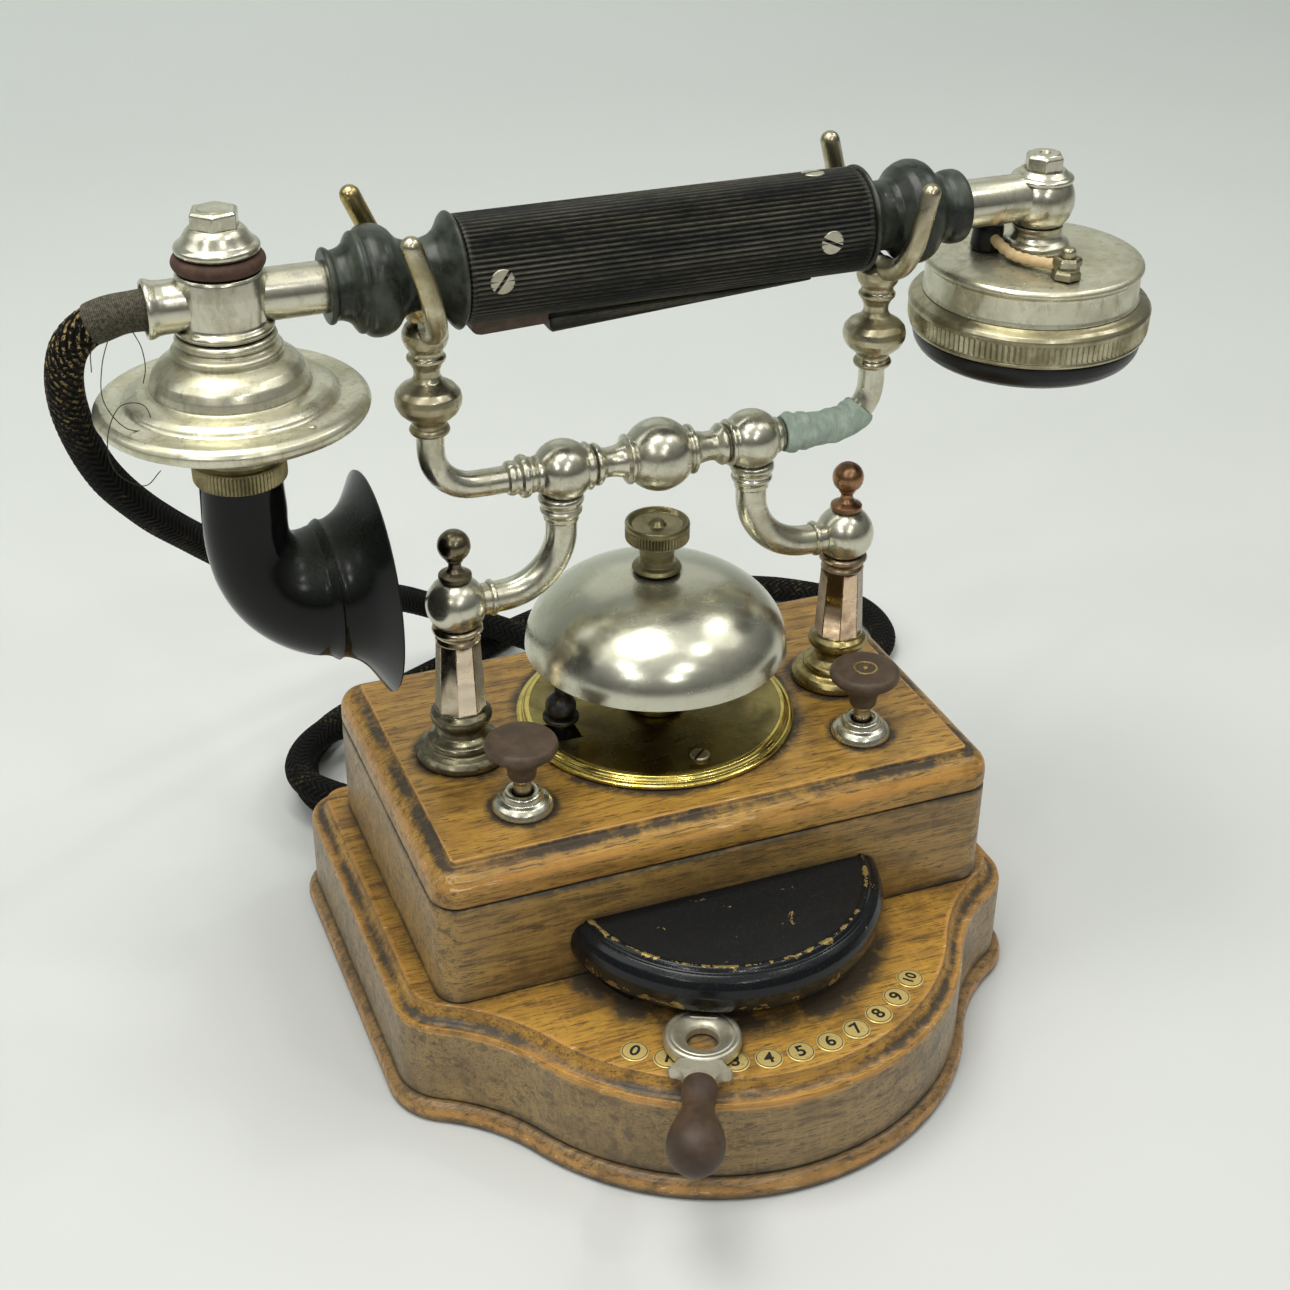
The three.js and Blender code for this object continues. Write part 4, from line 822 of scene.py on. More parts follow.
# ---- the base -----------------------------------------------------------------------------------------------
BOW = (0, -44.3, 76)
CORNER = (80.7, -44.7, 16.7)
OGEE_RADIUS = 60
BACK_Y, BACK_CORNER = 64, 12


def ogee_centre():
    to_bow, to_corner = BOW[2] + OGEE_RADIUS, CORNER[2] + OGEE_RADIUS
    dx, dy = CORNER[0] - BOW[0], CORNER[1] - BOW[1]
    span = math.hypot(dx, dy)
    along = (to_bow**2 - to_corner**2 + span**2) / (2 * span)
    aside = math.sqrt(to_bow**2 - along**2)
    return BOW[0] + (along * dx + aside * dy) / span, BOW[1] + (along * dy - aside * dx) / span


def base_outline(offset):
    ogee = ogee_centre()
    bow_end = math.degrees(math.atan2(ogee[1] - BOW[1], ogee[0] - BOW[0]))
    corner_start = math.degrees(math.atan2(ogee[1] - CORNER[1], ogee[0] - CORNER[0]))
    back_x = CORNER[0] + CORNER[2] - BACK_CORNER
    half = [
        *arc(BOW[0], BOW[1], BOW[2] + offset, -90, bow_end, 34),
        *arc(*ogee, OGEE_RADIUS - offset, bow_end + 180, corner_start + 180, 14)[1:],
        *arc(CORNER[0], CORNER[1], CORNER[2] + offset, corner_start, 0, 16)[1:],
        *arc(back_x, BACK_Y - BACK_CORNER, BACK_CORNER + offset, 0, 90, 10),
    ]
    return [*half, *[(-x, y) for x, y in reversed(half[1:])]]


def box_outline(offset):
    x, radius, front, back = 78.4, 8 + offset, BOX_FRONT + 8, 45.7
    return [
        *arc(x, front, radius, -90, 0, 10), *arc(x, back, radius, 0, 90, 10),
        *arc(-x, back, radius, 90, 180, 10), *arc(-x, front, radius, 180, 270, 10),
    ]


def outlined(outline, profile, fillet=0.6):
    """A block whose sides follow a profile of (offset, height) points."""
    return lofted([[Vector((x, y, z)) for x, y in outline(offset)] for offset, z in rounded(profile, fillet)])


def along_profile(profile, fillet, count, value):
    """One value(offset, height) for every point of each ring, the way outlined() makes them."""
    return [value(offset, z) for offset, z in rounded(profile, fillet) for _ in range(count)]


def hill(x, centre, width):
    return math.exp(-(((x - centre) / width) ** 2))


OUTLINE_POINTS = len(base_outline(0))
board = [(1.2, 0), (2.2, 0.1), (2.9, 1.3), (2.9, 3.4), (2.3, 5.1), (1.0, 6.3), (-0.6, 6.5), (-1.6, 6.5), (-3, 6.5)]
# Each piece carries two marks per ring: one darkens the oak along its seams, grooves and lower edges, the other (wear)
# lightens its rubbed edges.
piece("oak_base_board", outlined(base_outline, board), OAK_BOARD, "base", "oak", "base_board", marks={
    "soot": along_profile(board, 0.6, OUTLINE_POINTS, lambda o, z: hill(o, -0.8, 1.0) * (z > 5) + 0.5 * (z < 0.3)),
    "wear": along_profile(board, 0.6, OUTLINE_POINTS, lambda o, z: 0.75 * hill(z, 3.6, 1.8)),
})
wall = [(-0.4, 6.8), (0, 7.3), (0, 12), (0, 20), (0, 27), (0, 31.0), (-0.25, 31.6), (-3, 31.7)]
cove = [(-5.2 * math.sin(a), PLINTH_TOP - 5.4 * math.cos(a)) for a in [math.pi / 2 * i / 8 for i in range(1, 9)]]
piece("oak_plinth_wall", outlined(base_outline, wall, 0.4), OAK_WALL, "base", "oak", marks={
    "soot": along_profile(wall, 0.4, OUTLINE_POINTS, lambda o, z: 0.75 * hill(z, 7, 1.6)),
    "wear": along_profile(wall, 0.4, OUTLINE_POINTS, lambda o, z: 0.8 * hill(z, 31.4, 0.8)),
})
crown = [(-0.25, 31.6), (-0.4, 32.3), (-0.75, 32.9), *cove[1:], (-5.7, PLINTH_TOP), (-7.4, PLINTH_TOP),
    (-7.8, PLINTH_TOP)]
piece("oak_plinth_top", outlined(base_outline, crown, 0.3), OAK_PLINTH, "base", "oak", "plinth", marks={
    "soot": along_profile(crown, 0.3, OUTLINE_POINTS, lambda o, z: 0.95 * hill(o, -2.6, 1.7) * hill(z, 34.2, 2.4)),
    "wear": along_profile(crown, 0.3, OUTLINE_POINTS,
                          lambda o, z: 0.85 * hill(z, 32, 0.7) + 0.8 * hill(o, -5.6, 0.7) * (z > 37)),
})
sides = [(-0.3, 38), (0, 38.4), (0, 42), (0, 50), (0, 60), (0, 66), (0, 69.8), (-0.5, 70.4), (-3, 70.4)]
BOX_POINTS = len(box_outline(0))
case = piece("oak_box", outlined(box_outline, sides, 0.4), OAK_FRONT, "base", "oak", "box_case", marks={
    "soot": along_profile(sides, 0.4, BOX_POINTS, lambda o, z: 0.9 * hill(z, 38, 3) + 0.8 * hill(z, 70.6, 1.6)),
    "wear": along_profile(sides, 0.4, BOX_POINTS, lambda o, z: 0.5 * hill(z, 67.6, 1.2)),
})
carve(case, block(-79, 79, -50, 46, 30, 90, 0.01), block(-20, 20, BOX_FRONT - 1, BOX_FRONT + 9, 30, 43.2, 0.01))
lid_profile = [(-0.6, 70.9), (0.0, 71.5), (0.0, 73.4), (0.0, 75.6), (-0.35, 77.4), (-1.2, 79.0), (-2.4, 80.2),
    (-3.9, 80.95), (-5.2, 81.2), (-5.75, 81.25), (-6.15, 81.6), (-6.4, 82.3), (-6.7, 82.65), (-7.2, 82.75),
    (-7.7, 82.75)]
lid = piece("oak_lid", outlined(box_outline, lid_profile, 0.35), OAK_TOP, "base", "oak", "lid", marks={
    "soot": along_profile(lid_profile, 0.35, BOX_POINTS,
                          lambda o, z: 0.95 * hill(o, -5.0, 2.3) * (z > 79.5) * (z < 82.5) + 0.7 * hill(z, 71, 0.7)),
    "wear": along_profile(lid_profile, 0.35, BOX_POINTS,
                          lambda o, z: 0.9 * hill(o, -6.75, 0.45) + 0.95 * hill(z, 77.6, 1.8)),
})
bores = [shifted(turned([[0, 60], [2.9, 60], [2.9, 90], [0, 90]], 24, fillet=0), x, BUTTON_Y)
    for x in (-BUTTON_X, BUTTON_X)]
carve(lid, *bores, block(-37, -27, -10, 0, 60, 90, 0.01))


# ---- selector -----------------------------------------------------------------------------------------------
def on_selector(radius, degrees):
    angle = math.radians(degrees)
    return -radius * math.sin(angle), SELECTOR_Y - radius * math.cos(angle)


def make_cover():
    """Half-round japanned cover, cut straight where it meets the box."""
    profile = rounded([(41.8, 57.3), (42.3, 57.3), (42.9, 57.75), (43.9, 57.75), (44.5, 57.2), (45.0, 56.5),
        (45.9, 56.4), (47.4, 55.2), (48.5, 53.2), (48.9, 50.6), (48.6, 47.8), (47.7, 45.3), (46.4, 43.5),
        (44.6, 42.4)], 0.4)
    depth, steps = BOX_FRONT - 0.3 - COVER_Y, 110
    points = []
    for radius, z in profile:
        start = math.asin(depth / radius)
        turns = [math.pi - start + (math.pi + 2 * start) * i / steps for i in range(steps + 1)]
        points.extend(Vector((radius * math.cos(a), COVER_Y + radius * math.sin(a), z)) for a in turns)
    n = steps + 1
    faces = [list(range(n))[::-1]]
    for r in range(len(profile) - 1):
        for i in range(steps):
            faces.append([r * n + i, r * n + i + 1, (r + 1) * n + i + 1, (r + 1) * n + i])
    marks = {
        "wear": [hill(r, 43.4, 1.0) + 0.75 * hill(z, 46.5, 2.6) for r, z in profile for _ in range(n)],
        "flat": [1.0 if r < 42.4 else 0.0 for r, z in profile for _ in range(n)],
    }
    work = piece("selector_hood", (points, faces), JAPAN, "base", "japanned_metal", "selector_cover", marks=marks)
    solid = work.modifiers.new("wall", "SOLIDIFY")
    solid.thickness, solid.offset = 1.3 * MM, -1
    feet = []
    for side in (-1, 1):
        mid = -90 + side * 66
        outline = [*arc(0, COVER_Y, 42.6, mid - 9, mid + 9, 8), *arc(0, COVER_Y, 41.2, mid + 9, mid - 9, 8)]
        feet.append(prism(outline, 38, 56.3, 0.1))
    piece("hood_feet", merged(*feet), JAPAN, "base", "japanned_metal")


def make_lever():
    eye_y = -56.4
    eye = turned([[4.4, 38.3], [10.2, 38.3], [10.8, 39.2], [10.8, 41.4], [10.5, 42.2], [9.9, 42.6], [9.3, 42.5],
        [8.9, 42.3], [8.4, 42.5], [7.6, 42.3], [5.1, 41.0], [4.5, 40.2], [4.4, 38.3]], 96, place=(0, eye_y, 0),
        fillet=0.25)
    half = [(4.2, -46), (4.6, -62), (6.2, -66.6), (7.3, -68.2), (8.7, -69.6), (8.5, -70.6), (6.4, -70.9),
        (5.0, -72.0), (4.3, -73.6), (4.1, -76.0)]
    ring = rounded(half, 0.8)
    outline = [*ring, *[(-x, y) for x, y in reversed(ring)]]
    neck = prism([(x, y) for x, y in outline if y < -63], 38.7, 42.1, 0.5)
    tail = block(-4, 4, -50, 0, 38.6, 42.4)
    pivot_pad = turned([[2.9, 38.4], [7, 38.4], [7, 42.5], [2.9, 42.5], [2.9, 38.4]], 48)
    contact = block(-2, 2, 5, 23.5, 41, 42.5)
    turn = Matrix.Translation((0, SELECTOR_Y, 0)) @ Matrix.Rotation(-math.radians(SELECTOR_REST), 4, "Z")
    shape = moved(merged(eye, neck, tail, pivot_pad, contact), turn)
    piece("selector_arm", shape, NICKEL_MATT, "selector", "worn_nickel", "selector_lever")
    handle = turned([[0, -0.3], [4.0, -0.3], [4.7, 0.5], [4.9, 2.6], [4.7, 5.4], [4.3, 8.0], [4.4, 10.2],
        [5.1, 12.6], [6.3, 15.4], [7.3, 18.4], [7.8, 21.3], [7.55, 24.2], [6.6, 26.8], [4.9, 28.8], [2.6, 29.9],
        [0, 30.2]], 72, fillet=1.2)
    droop = Matrix.Translation((0, -74, 40.4)) @ Matrix.Rotation(math.radians(92), 4, "X")
    piece("selector_grip", moved(handle, turn @ droop), FIBRE_RED, "selector", "brown_fibre", "selector_handle")


def make_scale():
    discs, marks = [], []
    for station in range(STATIONS):
        degrees = ((STATIONS - 1) / 2 - station) * STATION_STEP
        x, y = on_selector(STATION_RADIUS, degrees)
        discs.append(shifted(turned([[0, 37.2], [4.0, 37.2], [4.0, 37.85], [3.8, 38.0], [0, 38.0]], 48,
            fillet=0.1), x, y))
        marks.append(shifted(turned([[3.35, 37.95], [3.55, 37.95], [3.55, 38.03], [3.35, 38.03], [3.35, 37.95]],
            48, fillet=0), x, y))
        text = bpy.data.curves.new("digits", "FONT")
        text.body = str(station)
        text.size = 5.6 if station < 10 else 4.4
        text.align_x, text.align_y = "CENTER", "CENTER"
        text.extrude = 0.03
        text.offset = 0.12
        holder = bpy.data.objects.new("digits", text)
        bpy.context.scene.collection.objects.link(holder)
        bpy.context.view_layer.update()
        mesh = bpy.data.meshes.new_from_object(holder)
        turn = Matrix.Translation((x, y, 38.02)) @ Matrix.Rotation(-math.radians(degrees), 4, "Z")
        marks.append(([turn @ v.co for v in mesh.vertices], [list(p.vertices) for p in mesh.polygons]))
        bpy.data.objects.remove(holder)
    piece("station_discs", merged(*discs), DISC, "base", "engraved_brass", "number_scale")
    piece("station_digits", merged(*marks), INK, "base", "engraved_brass", smooth=False)


make_cover()
make_lever()
make_scale()

# ---- buttons and bell ---------------------------------------------------------------------------------------
COLLAR = [[2.9, 82.7], [8.7, 82.7], [8.9, 83.6], [8.4, 85.0], [7.3, 86.1], [6.0, 86.7], [5.8, 87.4],
    [5.5, 88.3], [4.6, 88.7], [3.6, 88.5], [2.9, 88.0], [2.9, 82.7]]
CAP = [[0, 93.2], [3.7, 93.2], [4.1, 94.2], [4.2, 96], [5.0, 98.0], [6.6, 99.9], [9.0, 101.5], [10.2, 102.6],
    [10.5, 103.8], [10.1, 105.0], [9.2, 105.7], [7.5, 105.75], [0, 105.55]]
for word, side in (("left", -1), ("right", 1)):
    place = (side * BUTTON_X, BUTTON_Y, 0)
    body = "button_" + word
    piece(f"bush_{word}", turned(COLLAR, 72, place=place), NICKEL, "base", "nickel", f"button_collar_{word}")
    piece(f"cap_{word}", turned(CAP, 72, place=place, fillet=0.7), FIBRE, body, "brown_fibre", f"button_cap_{word}")
    stem = turned([[0, 66], [2.6, 66], [2.6, 91.6], [2.9, 92.2], [2.9, 93.4], [0, 93.4]], 36, place=place)
    piece(f"stem_{word}", stem, NICKEL_WORN, body, "worn_nickel", f"button_stem_{word}")
right_cap = (BUTTON_X, BUTTON_Y, 0)
ring = turned([[3.0, 105.4], [3.7, 105.4], [3.7, 105.78], [3.0, 105.78], [3.0, 105.4]], 48, place=right_cap,
              fillet=0.1)
dot = turned([[0, 105.3], [0.8, 105.3], [0.8, 105.8], [0, 105.8]], 24, place=right_cap, fillet=0.1)
piece("cap_mark", merged(ring, dot), BRASS, "button_right", "brass")

GONG_RADIUS, GONG_SPRING, GONG_HEIGHT, GONG_WALL = 38.9, 109, 23.4, 2
plate = turned([[0, 82.9], [38.2, 82.9], [38.2, 86.2], [37.4, 86.25], [0, 86.25]], 160, fillet=0.2)
carve(piece("bell_plate", plate, PLATE, "base", "lacquered_brass", "gong_plate"),
    block(-37, -27, -10, 0, 60, 90, 0.01))
piece("bell_plate_rim", turned([[38.1, 82.9], [41.6, 82.9], [42.2, 83.4], [42.1, 84.2], [41.2, 84.6],
    [40.6, 84.6], [40.4, 85.1], [39.9, 85.5], [39.6, 86.1], [38.8, 86.3], [38.1, 86.3], [38.1, 82.9]], 160,
    fillet=0.25), RIM, "base", "lacquered_brass")
turns = angles_between(0, 86, 40)
outer = [[GONG_RADIUS * math.cos(a), GONG_SPRING + GONG_HEIGHT * math.sin(a)] for a in turns]
inner = [[(GONG_RADIUS - GONG_WALL) * math.cos(a), GONG_SPRING + (GONG_HEIGHT - GONG_WALL) * math.sin(a)]
         for a in reversed(turns)]
bell = [[36.9, 108.2], [37.3, 107.8], [38.6, 107.7], [39.1, 108.0], [39.05, 108.6], *outer[1:], *inner, [36.9, 108.2]]
piece("bell", turned(bell, 192, fillet=0), NICKEL_GONG, "base", "nickel", "gong")
piece("bell_post", turned([[0, 86.4], [9, 86.4], [9, 88.2], [7, 89.4], [5, 90.4], [4.4, 94], [4.4, 124],
    [5, 128], [5, 130], [2.5, 130], [2.5, 145.2], [0, 145.2]], 48), PLATE, "base", "brass", "gong_post")


def knurled(bottom, top, teeth, depth):
    """Straight knurling between two heights, fading out at both ends."""
    def relief(height, angle):
        inside = min(height - bottom, top - height)
        if inside <= 0:
            return 0
        return -depth * min(1, inside / 0.25) * abs((angle / (2 * math.pi) * teeth) % 1 - 0.5) * 2
    return relief


piece("bell_nut", turned([[0, 133.0], [7.0, 133.0], [7.4, 133.6], [6.8, 134.4], [5.4, 135.0], [5.0, 136.4],
    [5.2, 138.4], [5.0, 140.6], [5.6, 142.0], [8.6, 142.4], [9.3, 142.9], [9.4, 143.4], [9.4, 144.2],
    [9.4, 145.2], [9.4, 146.0], [9.4, 146.9], [9.5, 147.6], [9.2, 148.3], [8.6, 148.4], [8.0, 147.9],
    [7.4, 147.2], [3.0, 147.0], [2.6, 147.1], [1.6, 148.6], [0, 149.3]], 360,
    relief=knurled(142.9, 146.8, 60, 0.45), fillet=0.15), OLIVE, "base", "worn_nickel", "gong_nut")


def screw_head(radius, height, slot, turn, place):
    """An upright slotted cheese head, and the block that cuts its slot."""
    head = turned([[0, -1.2], [radius, -1.2], [radius, height * 0.6], [radius * 0.86, height],
        [0, height * 1.05]], 40, fillet=0.25)
    matrix = Matrix.Translation(place) @ Matrix.Rotation(turn, 4, "Z")
    cutter = block(-radius - 1, radius + 1, -slot / 2, slot / 2, height * 0.25, height + 1, 0.01)
    return moved(head, matrix), moved(cutter, matrix)


head, slit = screw_head(3.0, 1.1, 0.8, 0.7, (1.3, -32, 86.3))
carve(piece("plate_screw", head, NICKEL_WORN, "base", "worn_nickel"), slit)


def make_hammer():
    """The striker: an arm from the armature to the ball beside the gong, with a bead on its end."""
    place = (HAMMER_X, HAMMER_Y, 0)
    line = [(-14, 56), (-22, 56), (-28.6, 57.6), (HAMMER_X, 63), (HAMMER_X, 80), (HAMMER_X, 110)]
    arm = swept(smooth_path([(x, HAMMER_Y, z) for x, z in line], 1.5), 1.8, 24)
    ball = turned(globe(4.6, 95.5, steps=24), 48, place=place, fillet=0)
    tip = turned(globe(2.6, 111, steps=16), 32, place=place, fillet=0)
    washer = turned([[0, 91], [5.4, 91], [5.4, 92.4], [0, 92.4]], 40, place=place)
    hub = turned([[1.9, 49], [3.4, 49], [3.4, 63], [1.9, 63], [1.9, 49]], 32, place=(-13, 42, 0))
    armature = block(-14.5, -11.5, -7, 39.5, 49, 63)
    piece("hammer", merged(arm, ball, tip, washer, hub, armature), IRON, "striker", "dark_iron", "bell_hammer")


make_hammer()

# ---- cradle -----------------------------------------------------------------------------------------------
POST_FOOT = [[0, 82.8], [13.4, 82.8], [13.9, 83.6], [13.7, 85.0], [12.4, 86.3], [10.9, 86.9], [10.3, 87.3],
    [10.4, 88.4], [9.8, 89.4], [8.6, 89.9], [7.2, 90.9], [6.7, 92.3], [7.0, 93.8], [8.1, 94.6], [8.9, 95.5],
    [9.1, 96.6], [8.8, 97.7], [8.0, 98.4], [7.4, 98.9], [7.2, 99.6], [0, 99.6]]
POST_HEAD = [[0, 121.4], [6.2, 121.4], [6.6, 121.9], [6.3, 122.6], [5.9, 123.2], [6.1, 124.0], [6.9, 124.5],
    [7.4, 125.1], [7.2, 126.0], [6.4, 126.6], [0, 126.6]]
FINIAL_FOOT = [[0, 141.0], [4.4, 141.0], [4.8, 141.8], [4.7, 142.8], [3.8, 143.3], [2.6, 143.9], [1.9, 145.0],
    [1.8, 146.4], [2.4, 147.0], [2.6, 147.5]]


def octagon_column(bottom, top, low, high):
    corners = [math.radians(22.5 + 45 * i) for i in range(8)]
    rings = []
    for z, radius in ((bottom, low), (bottom + 0.2, low), (top - 0.2, high), (top, high)):
        rings.append([Vector((radius * math.cos(a), radius * math.sin(a), z)) for a in corners])
    return lofted(rings)


def make_post(word, side):
    x = side * POST_X
    foot = upright(x, POST_FOOT, 96)
    column = shifted(octagon_column(99.2, 122, 7.5, 6.4), x)
    collar = upright(x, POST_HEAD, 72, fillet=0.25)
    plating, slot = (NICKEL_COPPER, "coppery_nickel") if side > 0 else (NICKEL_PINK, "nickel")
    soften(piece(f"pillar_{word}", merged(column, collar), plating, "base", slot, f"post_{word}", sharp=30), 0.35)
    piece(f"pillar_foot_{word}", foot, FOOT_BRASSY if side > 0 else FOOT, "base", "worn_nickel")
    knob = upright(x, [*FINIAL_FOOT, *globe(4.7, 151.7, 30, 180)[1:]], 64, fillet=0.2)
    plating, slot = (COPPER, "coppery_nickel") if side > 0 else (DARK, "worn_nickel")
    piece(f"knob_{word}", knob, plating, "base", slot, f"finial_{word}")


def soften(work, width):
    """Eases the sharp edges of a piece."""
    modifier = work.modifiers.new("ease", "BEVEL")
    modifier.width, modifier.segments = width * MM, 2
    modifier.limit_method, modifier.angle_limit = "ANGLE", math.radians(30)


def make_lower_arm(word, side):
    bend, column_x = 18.7, 29.3
    corner = column_x + bend
    line = [(POST_X, ARM_Z), (POST_X - 6, ARM_Z), *arc(corner, ARM_Z + bend, bend, 270, 180, 10), (column_x, 158)]
    path = smooth_path([(side * x, 0, z) for x, z in line], 1.2)
    arm = swept(path, 4.5, 48, ends="flat")
    collar = upright(side * column_x, [[0, 154.2], [4.7, 154.2], [5.1, 154.8], [5.0, 155.6], [5.2, 156.4], [5.9, 157.0],
        [6.1, 157.8], [5.6, 158.4], [5.5, 159.2], [6.2, 160.0], [6.6, 161.0], [6.3, 162.0], [5.4, 162.6],
        [0, 162.6]], 64, fillet=0.3)
    ball = upright(side * POST_X, globe(8.75, ARM_Z, 46, 152), 72, fillet=0)
    lip = turned([[4.6, 0], [5.2, 0.4], [5.3, 1.4], [4.6, 1.8], [4.6, 0]], 48, about="X", fillet=0.2)
    lip = shifted(lip, side * (POST_X - 9.4) - (1.8 if side > 0 else 0), 0, ARM_Z)
    piece(f"arm_low_{word}", merged(arm, collar, ball, lip), NICKEL, "base", "nickel", f"lower_arm_{word}")


def make_crossbar():
    def ball(centre, radius, start, end, steps):
        return [[radius * math.sin(a), centre + radius * math.cos(a)] for a in angles_between(start, end, steps)]

    half = [*ball(0, 10.5, 90, 38, 14), [6.6, 8.7], [7.2, 9.2], [7.2, 9.9], [6.4, 10.3], [5.4, 10.8],
        [4.8, 11.8], [4.4, 13.4], [4.2, 15.2], [4.4, 16.8], [5.6, 18.0], [6.1, 18.7], [6.0, 19.5], [5.2, 20.0],
        [5.0, 20.5], [6.6, 20.9], [6.9, 21.5], [6.5, 22.1], *ball(28.7, 8.8, 132, 36, 26), [5.3, 36.0],
        [5.2, 36.8], [4.6, 37.3], [4.4, 38.2], [0, 38.2]]
    profile = [[r, -x] for r, x in reversed(half[1:])] + half
    profile[0] = [0, -38.2]
    piece("bar", turned(profile, 96, about="X", place=(0, 0, CROSSBAR_Z), fillet=0.3), NICKEL, "base", "nickel",
        "crossbar")


def upper_line(side, start, end_degrees, top=None):
    bend = 12
    points = [(start, CROSSBAR_Z), *arc(FORK_X - bend, CROSSBAR_Z + bend, bend, 270, end_degrees, 8)]
    if top:
        points.append((FORK_X, top))
    return smooth_path([(side * x, 0, z) for x, z in points], 1.0)


def make_upper_arms():
    for word, side in (("left", -1), ("right", 1)):
        arm = swept(upper_line(side, 37, 360, 187.4), 3.8, 40, ends="flat")
        if side < 0:
            collar = turned([[0, -45.6], [3.9, -45.6], [4.7, -45.0], [5.0, -43.8], [4.6, -42.8], [4.9, -42.0],
                [5.9, -41.4], [6.2, -40.4], [5.9, -39.4], [5.0, -38.9], [5.2, -38.4], [5.0, -37.6], [0, -37.6]],
                64, about="X", place=(0, 0, CROSSBAR_Z), fillet=0.3)
            arm = merged(arm, collar)
        piece(f"arm_up_{word}", arm, NICKEL, "base", "nickel", f"upper_arm_{word}")
    line = upper_line(1, 38.4, 322)
    count = len(line) - 1

    def lumps(i, angle):
        share = i / count
        shoulder = 1.1 * math.exp(-(((share - 0.1) / 0.07) ** 2)) + 0.9 * math.exp(-(((share - 0.24) / 0.03) ** 2))
        folds = (0.18 * math.sin(5 * angle + 9 * share) + 0.14 * math.sin(23 * share + 2 * angle)
                 + 0.12 * math.sin(40 * share - 3 * angle))
        edge = -0.5 if share > 0.97 else 0
        return shoulder + folds * min(1, 8 * share) + edge

    piece("wrap", swept(line, 5.0, 64, ends="flat", relief=lumps), WRAP, "base", "green_wrap", "arm_wrap")


FORK_STEM = [[0, 186.6], [3.9, 186.6], [5.2, 187.2], [5.6, 188.1], [5.2, 189.0], [4.5, 189.6], [4.7, 190.4],
    [5.2, 191.2], [6.6, 192.2], [8.0, 193.6], [8.9, 195.4], [9.1, 197.0], [8.7, 198.8], [7.4, 200.3],
    [5.6, 201.4], [4.2, 202.4], [3.5, 203.8], [3.6, 205.6], [4.4, 207.2], [5.2, 208.2], [5.3, 209.0],
    [4.6, 209.7], [4.5, 210.8], [5.6, 212.4], [6.2, 214.2], [6.1, 216.0], [5.2, 217.8], [3.4, 219.0], [0, 219.6]]


def make_fork(word, side):
    x = side * FORK_X
    leans = {-1: (-7.5, -13), 1: (4, -8)}[side]
    tips = {-1: (246, 248), 1: (243, 248)}[side]
    stem = upright(x, FORK_STEM, 80, fillet=0.3)
    prongs = []
    for way, lean, tip in ((-1, leans[0], tips[0]), (1, leans[1], tips[1])):
        line = [
            (lean, way * 18.8, tip), (lean * 0.62, way * 18.9, 237), (lean * 0.3, way * 17.4, 228.4),
            (lean * 0.08, way * 13.4, 221.6), (0, way * 7, 218), (0, 0, 216.6),
        ]
        path = smooth_path([(x + a, b, c) for a, b, c in line], 1.0)
        prongs.append(swept(path, lambda share: 2.75 + 0.5 * share**2, 36))
    piece(f"cradle_{word}", merged(stem, prongs[0]), NICKEL_WORN, "base", "worn_nickel", f"fork_{word}")
    piece(f"cradle_rear_{word}", prongs[1], PRONG if side < 0 else NICKEL_WORN, "base", "worn_nickel")


for word, side in (("left", -1), ("right", 1)):
    make_post(word, side)
    make_lower_arm(word, side)
    make_fork(word, side)
make_crossbar()
make_upper_arms()


# ---- handset ----------------------------------------------------------------------------------------------
def handset(name, shape, material, slot, stands_for=(), **more):
    return piece(name, shape, material, "handset", slot, stands_for, **more)


def make_grip():
    def ribs(height, angle):
        inside = 56.3 - abs(height)
        if inside <= 0:
            return 0
        wave = abs((angle / (2 * math.pi) * GRIP_RIBS) % 1 - 0.5) * 2
        return -0.5 * wave**1.3 * min(1, inside / 0.6)

    profile = [[0, -57.3], [13.4, -57.3], [14.1, -56.9], [14.3, -56.2], [14.3, -55.4]]
    profile += [[14.3, -55 + 11 * i] for i in range(11)]
    profile += [[14.3, 55.4], [14.3, 56.2], [14.1, 56.9], [13.4, 57.3], [0, 57.3]]
    shape = along_x(profile, GRIP_RIBS * 8, relief=ribs, fillet=0.05)
    grip = handset("grip", shape, RIBBED, "ebonite", "grip_sleeve", sharp=60)
    carve(grip, block(-55, 45, -5.6, 5.6, HANDSET_Z - 20, HANDSET_Z - 10.5, 0.01))


LEFT_END = [[0, 57.4], [14.0, 57.4], [15.0, 57.8], [15.4, 58.5], [14.6, 59.3], [12.9, 60.3], [11.2, 61.6],
    [9.9, 63.4], [9.2, 65.8], [9.1, 68.4], [9.3, 70.6], [10.1, 72.4], [11.4, 73.6], [12.6, 74.5], [13.6, 75.8],
    [14.3, 77.6], [14.5, 79.4], [14.3, 81.0], [13.7, 82.2], [12.9, 82.7], [13.1, 83.4], [12.9, 84.2],
    [12.0, 84.8], [10.6, 85.6], [9.6, 86.8], [9.0, 88.4], [8.9, 89.8], [9.6, 90.4], [9.9, 91.2], [9.5, 91.9],
    [7.4, 92.0], [0, 92.0]]
RIGHT_END = [[0, 57.4], [13.6, 57.4], [14.5, 57.8], [14.7, 58.5], [13.6, 59.2], [11.6, 60.2], [10.2, 61.6],
    [9.6, 63.6], [9.6, 66.0], [10.2, 67.8], [11.6, 69.2], [13.0, 70.4], [14.0, 72.2], [14.5, 74.2],
    [14.3, 76.4], [13.5, 78.2], [12.0, 79.6], [10.2, 80.8], [9.4, 82.2], [9.3, 84.0], [9.9, 84.8], [10.3, 86.2],
    [10.3, 88.4], [9.9, 89.5], [9.0, 90.0], [0, 90.0]]


